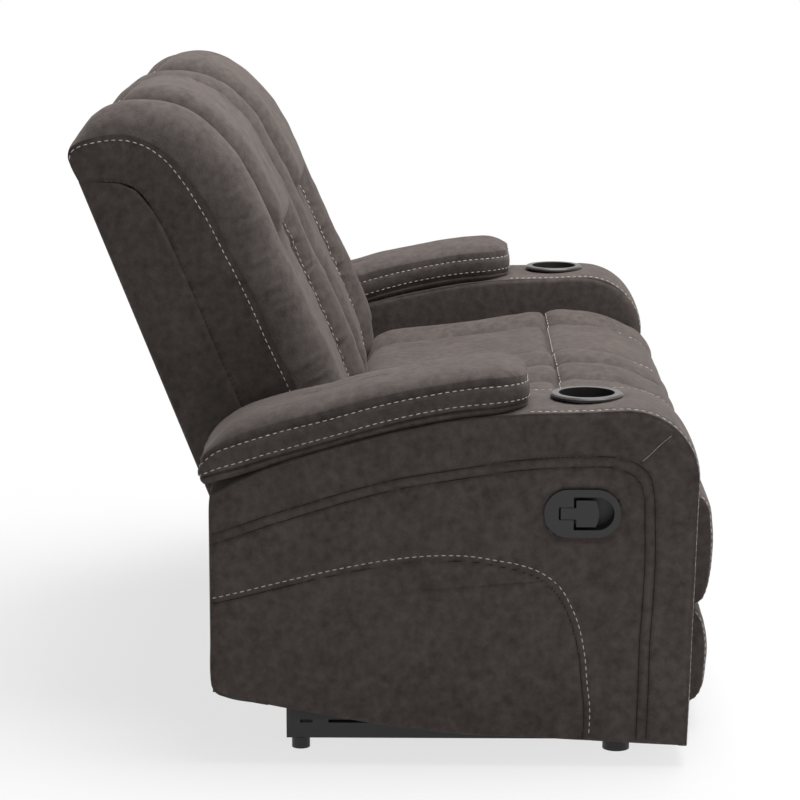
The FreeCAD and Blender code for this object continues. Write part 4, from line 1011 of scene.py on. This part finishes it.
def back_cover(side):
    """A back cushion: two tall bolsters with gathers, and a channelled middle."""
    gather = sizes().gather_depth
    edge, inner = back_lines()
    length = line_length(edge)
    top = cushion_columns(BACK_SEAMS, 108, 164, 32)

    def rise(t, x):
        amount = back_amount(t, length[-1])
        value = knots(x, BACK_SHAPE) * amount
        away = np.minimum(x, SEAT_WIDE - x)
        value = value + 1.9 * gather * amount * pucker(t, away - 8, 20, 81, 13) * ease(away, 5, 11)
        for seam in BACK_SEAMS:
            value = value + 1.7 * gather * amount * pucker(
                t, x - seam, 20, 83 + int(seam), 14) * ease(np.abs(x - seam), 1, 5)
        value = value + 2.4 * soft_noise(t, x, 75, 60, 87) * amount
        return value + 0.9 * soft_noise(t, x, 22, 34, 88) * amount

    places = sewn_strip(edge, inner, SEAT_WIDE, top, rise, 2.2)
    box = np.arange(BOXING)[None, :] / BOXING
    fold = 1.5 * soft_noise(length[:, None], box * 90, 26, 60, 91) * np.sin(np.pi * box)
    fold = fold + 1.0 * pucker(length[:, None], (1 - box) * 85, 22, 93, 12)
    # The folds stay clear of the arm beside them.
    places[:, :BOXING, 0] = np.maximum(places[:, :BOXING, 0] - fold, -3.0)
    places[..., 0] -= SEAT_START
    outward = facing(edge).repeat(places.shape[1], 1)
    outward[:, :BOXING] = (-1, 0, 0)
    normals = surface_normals(places, outward)
    # Painted shade in the seams' grooves, and all down the first column where the boxing meets the
    # shell.
    seam = painted_seam_shade(places, top, (0.0, *BACK_SEAMS, SEAT_WIDE))
    seam[:, 0] = 0.7
    piece = cover_piece("back_cover", side, places, seam)
    lines = [line_at(places, normals, column, slice(6, len(edge) - 10))
             for column in (BOXING - 0.75, BOXING + len(top) - 0.25)]
    lines += [line_at(places, normals, column_of(top, x), slice(20, len(edge) - 16))
              for x in (BACK_SEAMS[0] - STITCH_BESIDE, BACK_SEAMS[1] + STITCH_BESIDE)]
    return piece, lines


PILLOW_WIDE = 282.0
PILLOW_START = 156  # from the seat's outer edge to the pillow's
PILLOW_ROWS = (430, 742)  # where it begins and ends along the back


def pillow_cover(side):
    """The head pillow sewn over the middle of a back."""
    gather = sizes().gather_depth
    edge, _ = back_lines()
    length = line_length(edge)
    middle = edge + side_normals(edge) * (49 * back_amount(length, length[-1]))[:, None]
    start, end = (int(np.argmin(np.abs(length - at))) for at in PILLOW_ROWS)
    base = even_line(middle[start:end], 3.6)
    total = line_length(base)[-1]
    columns = np.concatenate([[0, 1, 2.5, 5, 8.5, 13], np.linspace(20, 262, 40),
                              [269, 273.5, 277, 279.5, 281, PILLOW_WIDE]])

    def rise(t, x):
        away = np.minimum(x, PILLOW_WIDE - x)
        across = np.clip(away / 62, 0, 1)
        along = np.clip(np.minimum(t / 50, (total - t) / 90), 0, 1)
        bulge = np.sqrt(np.maximum(1 - (1 - across) ** 2.2, 0)) * np.sqrt(
            np.maximum(1 - (1 - along) ** 2.0, 0))
        value = -8 + 44 * bulge + gather * pucker(t, away, 18, 95, 14)
        value = value + 1.6 * soft_noise(t, x, 60, 70, 97) * bulge
        return value + 0.8 * soft_noise(t, x, 20, 26, 98) * bulge

    places = sewn_strip(base, base - side_normals(base) * 14, PILLOW_WIDE, columns, rise)
    places[..., 0] -= SEAT_START - PILLOW_START
    return cover_piece("head_pillow_cover", side, places)


def shell_cover(side):
    """The cover of a back's outside: flat sides and a plain rear with round corners."""
    rows = np.linspace(-116, 556, 150)
    front = np.interp(rows, [-116, -110, -4, 24, 200, 343, 434, 470, 508, 528, 544, 556],
                      [-70, -66, 6, 9, 11, 16, 17, 13, 2, -16, -46, -72])
    rear = np.interp(rows, [-116, 553], [-105, -77])
    radius = 9
    corner = np.array([0.0, 0.6, 2.2, 5.0, 9.0])
    across = np.concatenate([corner, np.linspace(16, 578, 40), SEAT_WIDE - corner[::-1]])
    inside = radius - np.minimum(np.minimum(across, SEAT_WIDE - across), radius)
    deep = radius - np.sqrt(np.maximum(radius ** 2 - inside ** 2, 0))
    share = np.linspace(0, 1, 12)
    loops = []
    for z, f, r in zip(rows, front, rear):
        ripple = 0.9 * soft_noise(z + 0 * share, share * 90, 70, 60, 101) * np.sin(np.pi * share)
        depth = f + (r + radius - f) * share
        left = np.stack([-0.3 - ripple * 0.6, depth], 1)
        back = np.stack([across, r + deep - 1.8 * np.sin(np.pi * across / SEAT_WIDE)], 1)
        right = np.stack([SEAT_WIDE + 0.3 + ripple[::-1] * 0.6, depth[::-1]], 1)
        loop = np.vstack([left[:-1], back, right[1:]])
        flat = lean(np.stack([loop[:, 1], np.full(len(loop), z)], 1))
        loops.append(place_at(loop[:, 0] - SEAT_START, flat))
    return cover_piece("back_shell_cover", side, np.array(loops))


# Footrests

UPPER_PAD = [(455, 210), (470, 208), (486, 210), (498, 218), (505, 235), (509, 262), (511, 300),
             (510, 340), (506, 370), (498, 384), (484, 391), (468, 392), (455, 390)]
LOWER_PAD = [(455, 49), (470, 46), (484, 48), (494, 56), (501, 75), (504, 105), (505, 130),
             (502, 160), (496, 184), (486, 197), (472, 203), (455, 203)]


def footrest_cover(side, name, outline, seed):
    """A footrest pad, puffed forwards, with a seam round its front."""
    gather = sizes().gather_depth
    edge = smooth_line(outline, 3.6)
    length = line_length(edge)
    inner = np.stack([np.full(len(edge), 455.2),
                      np.linspace(edge[0, 1], edge[-1, 1], len(edge))], 1)
    top = seat_columns()

    def rise(t, x):
        away = np.minimum(x, SEAT_WIDE - x)
        mid = np.sin(np.pi * np.clip(t / length[-1], 0, 1))
        value = 8.5 * (1 - np.exp(-away / 15)) * mid ** 0.7
        for seam in SEAT_SEAMS:
            value = value - 3.4 * groove(x - seam, 5) * mid
            value = value + gather * 0.7 * mid * pucker(t, x - seam, 14, seed, 15) * (
                np.abs(x - seam) > 1.5)
        value = value + gather * 0.8 * mid * pucker(t, away, 16, seed + 3, 13) * (away > 2)
        return value + 1.2 * soft_noise(t, x, 80, 70, seed + 5) * mid

    places = sewn_strip(edge, inner, SEAT_WIDE, top, rise, 1.8)
    places[..., 0] -= SEAT_START
    normals = surface_normals(places, facing(edge))
    # Painted shade along the seams and the pad's two sewn edges.
    piece = cover_piece(f"{name}_cover", side, places,
                        painted_seam_shade(places, top, (0.0, *SEAT_SEAMS, SEAT_WIDE)))
    return piece, [line_at(places, normals, column_of(top, x), slice(6, len(edge) - 6))
                   for x in (5.0, SEAT_WIDE - 5)]


# Operators

class SOFA_OT_arms(bpy.types.Operator):
    """Cover both arms: sides, boxing strips, inner sides and rear ends"""
    bl_idname = "sofa.arms"
    bl_label = "Arms"

    def execute(self, context):
        rim = looped(arm_rim())
        for side in SIDES:
            place_piece(arm_side_cover(side), "base", "upholstery", f"arm_outer_panel_{side}",
                        fill=0.2)
            boxing, lines = arm_boxing_cover(side)
            place_piece(boxing, "base", "upholstery", f"arm_boxing_{side}", fill=0.4)
            place_piece(arm_inner_cover(side), "base", "upholstery", f"arm_inner_panel_{side}",
                        fill=0.2)
            place_piece(arm_rear_cover(side), "base", "upholstery", fill=0.2)
            sew("arm_boxing_stitching", lines, side, "base")
            sew("arm_curve_stitching", [on_panel(CURVE, rim)], side, "base")
            # Dark cords in the grooves of the piping and the inner curved seam paint their shade.
            dark = [on_panel(line, rim) for line in (PIPING, PIPING_IN, CURVE_IN)]
            place_piece(seam_cords(f"arm_seams_{side}", dark, side, finish("seam")), "base",
                        "upholstery")
            place_piece(seam_cords(f"arm_mitre_{side}", [on_panel(MITRE, rim)], side,
                                   finish("thread"), 0.45, 0.1), "base", "upholstery")
        return {"FINISHED"}


class SOFA_OT_arm_pads(bpy.types.Operator):
    """Cover both arm pads"""
    bl_idname = "sofa.arm_pads"
    bl_label = "Arm pads"

    def execute(self, context):
        for side in SIDES:
            pad, lines = arm_pad_cover(side)
            place_piece(pad, "base", "upholstery", f"arm_pad_{side}", fill=0.8)
            sew("arm_pad_stitching", lines, side, "base")
        return {"FINISHED"}


class SOFA_OT_seats(bpy.types.Operator):
    """Cover both seat cushions"""
    bl_idname = "sofa.seats"
    bl_label = "Seats"

    def execute(self, context):
        for side in SIDES:
            seat, lines = seat_cover(side)
            place_piece(seat, f"seat_{side}", "upholstery", f"seat_cushion_{side}", fill=0.8)
            sew("seat_stitching", lines, side, f"seat_{side}")
        return {"FINISHED"}


class SOFA_OT_backs(bpy.types.Operator):
    """Cover both backs: cushions, head pillows and shells"""
    bl_idname = "sofa.backs"
    bl_label = "Backs"

    def execute(self, context):
        for side in SIDES:
            body = f"back_{side}"
            back, lines = back_cover(side)
            place_piece(back, body, "upholstery", f"back_cushion_{side}", fill=0.9)
            place_piece(pillow_cover(side), body, "upholstery", f"head_pillow_{side}", fill=0.8)
            place_piece(shell_cover(side), body, "upholstery", f"back_shell_{side}")
            sew("back_stitching", lines, side, body)
        return {"FINISHED"}


class SOFA_OT_footrests(bpy.types.Operator):
    """Cover the upper and lower pads of both footrests"""
    bl_idname = "sofa.footrests"
    bl_label = "Footrests"

    def execute(self, context):
        for side in SIDES:
            body = f"footrest_{side}"
            for name, outline, seed in (("footrest_upper_pad", UPPER_PAD, 111),
                                        ("footrest_lower_pad", LOWER_PAD, 121)):
                pad, lines = footrest_cover(side, name, outline, seed)
                place_piece(pad, body, "upholstery", f"{name}_{side}", fill=0.8)
                sew(f"{name}_stitching", lines, side, body)
        return {"FINISHED"}


class SOFA_OT_hard_parts(bpy.types.Operator):
    """Give the frame, the mechanism, the handles and the cup holders their finishes"""
    bl_idname = "sofa.hard_parts"
    bl_label = "Frame and mechanism"

    def execute(self, context):
        finishes = {"timber": "timber", "cup_plastic": "cup", "black_plastic": "handle",
                    "cable_sheath": "sheath", "black_steel": "steel", "webbing": "webbing",
                    "foot_plastic": "foot", "upholstery": "cover"}
        for part in frame["record"]["subparts"]:
            made = frame["nodes"][part["node"]]
            made.data.materials.clear()
            kind = finishes[part["material_slot"]]
            if part["node"].startswith(("base_rails", "arm_frame")):
                kind = "stain"
            made.data.materials.append(finish(kind))
        return {"FINISHED"}


def direct_rays(tree, at):
    """1 for what the camera sees straight, in a reflection or through glass, and else 0."""
    path = node(tree, "ShaderNodeLightPath", (at[0] - 400, at[1]))
    seen = path.outputs["Is Camera Ray"]
    for step, ray in enumerate(("Is Glossy Ray", "Is Transmission Ray")):
        seen = node(tree, "ShaderNodeMath", (at[0] + 200 * (step - 1), at[1]),
                    [(seen, 0), (path.outputs[ray], 1)], operation="MAXIMUM").outputs[0]
    return seen


class SOFA_OT_stage(bpy.types.Operator):
    """Add the floor, the studio light and the camera"""
    bl_idname = "sofa.stage"
    bl_label = "Stage"

    def execute(self, context):
        scene = context.scene
        bm = bmesh.new()
        bmesh.ops.create_grid(bm, x_segments=1, y_segments=1, size=30)
        floor = finish_mesh("floor", bm, None)
        floor.data.materials.append(self.floor_finish())
        self.lamp(scene, "overhead", (3.6, 2.6), 205, (0.25, -0.7, 3.6), (0, 0, 0.4))
        self.lamp(scene, "front", (2.0, 2.0), 26, (-0.4, -4.0, 2.8), (0, 0, 0.5))
        self.lamp(scene, "side", (3.5, 2.2), 4, (-4.6, 1.2, 2.2), (0, 0, 0.5))
        world = bpy.data.worlds.new("white studio")
        scene.world = world
        world.use_nodes = True
        tree = world.node_tree
        tree.nodes.clear()
        # A white background that lights the sofa ten times less than it shows.
        dim = node(tree, "ShaderNodeBackground", (-200, 100), Color=(1, 1, 1, 1), Strength=0.1)
        white = node(tree, "ShaderNodeBackground", (-200, -100), Color=(1, 1, 1, 1), Strength=1.0)
        mix = node(tree, "ShaderNodeMixShader", (0, 0),
                   [(direct_rays(tree, (-400, 0)), 0), (dim.outputs[0], 1), (white.outputs[0], 2)])
        node(tree, "ShaderNodeOutputWorld", (200, 0), [(mix.outputs[0], "Surface")])
        data = bpy.data.cameras.new("camera")
        data.lens = sizes().lens
        data.sensor_width = 36
        camera = bpy.data.objects.new("camera", data)
        camera.location = (-5.2879, -0.0743, 1.4386)
        pitch, yaw = math.radians(10.7707), math.radians(0.7864)
        aim = Vector((math.cos(pitch) * math.cos(yaw), math.cos(pitch) * math.sin(yaw),
                      -math.sin(pitch)))
        camera.rotation_euler = aim.to_track_quat("-Z", "Y").to_euler()
        scene.collection.objects.link(camera)
        scene.camera = camera
        scene.view_settings.view_transform = "Standard"
        return {"FINISHED"}

    def floor_finish(self):
        """Matt white vinyl floor. It keeps the sofa's soft shadow and fades to plain white."""
        made, tree, position = new_material("matt white floor", Roughness=0.9,
                                            Base_Color=(0.85, 0.85, 0.85, 1))
        far = node(tree, "ShaderNodeVectorMath", (-900, 0), [(position, 0)], operation="LENGTH")
        fade = node(tree, "ShaderNodeMapRange", (-700, 0), [(far.outputs["Value"], "Value")],
                    interpolation_type="SMOOTHSTEP", From_Min=0.6, From_Max=1.7, To_Min=0.72,
                    To_Max=1.0)
        share = node(tree, "ShaderNodeMath", (-300, 0),
                     [(fade.outputs[0], 0), (direct_rays(tree, (-500, -250)), 1)],
                     operation="MULTIPLY")
        white = node(tree, "ShaderNodeEmission", (-300, -200), Strength=1.0)
        mix = node(tree, "ShaderNodeMixShader", (-100, 0),
                   [(share.outputs[0], 0), (tree.nodes["Principled BSDF"].outputs[0], 1),
                    (white.outputs[0], 2)])
        tree.links.new(mix.outputs[0], tree.nodes["Material Output"].inputs["Surface"])
        return made

    def lamp(self, scene, name, size, power, at, to):
        """Adds a rectangular area light that points at a place."""
        data = bpy.data.lights.new(name, "AREA")
        data.shape = "RECTANGLE"
        data.size, data.size_y = size
        data.energy = power
        made = bpy.data.objects.new(name, data)
        made.location = at
        made.rotation_euler = (Vector(to) - Vector(at)).to_track_quat("-Z", "Y").to_euler()
        scene.collection.objects.link(made)


STEPS = (SOFA_OT_hard_parts, SOFA_OT_arms, SOFA_OT_arm_pads, SOFA_OT_seats, SOFA_OT_backs,
         SOFA_OT_footrests, SOFA_OT_stage)


class SOFA_PT_panel(bpy.types.Panel):
    """Lists the steps that dress the sofa"""
    bl_idname = "SOFA_PT_panel"
    bl_label = "Reclining sofa"
    bl_space_type = "VIEW_3D"
    bl_region_type = "UI"
    bl_category = "Sofa"

    def draw(self, context):
        for group in (context.scene.sofa_sizes, context.scene.sofa_colours):
            for name in group.bl_rna.properties.keys():
                if name not in ("rna_type", "name"):
                    self.layout.prop(group, name)
        for step in STEPS:
            self.layout.operator(step.bl_idname)


CLASSES = (SofaSizes, SofaColours) + STEPS + (SOFA_PT_panel,)


def register():
    for cls in CLASSES:
        bpy.utils.register_class(cls)
    bpy.types.Scene.sofa_sizes = PointerProperty(type=SofaSizes)
    bpy.types.Scene.sofa_colours = PointerProperty(type=SofaColours)


def unregister():
    del bpy.types.Scene.sofa_sizes
    del bpy.types.Scene.sofa_colours
    for cls in reversed(CLASSES):
        bpy.utils.unregister_class(cls)


def main():
    register()
    for step in STEPS:
        group, name = step.bl_idname.split(".")
        getattr(getattr(bpy.ops, group), name)()


if __name__ == "__main__":
    main()
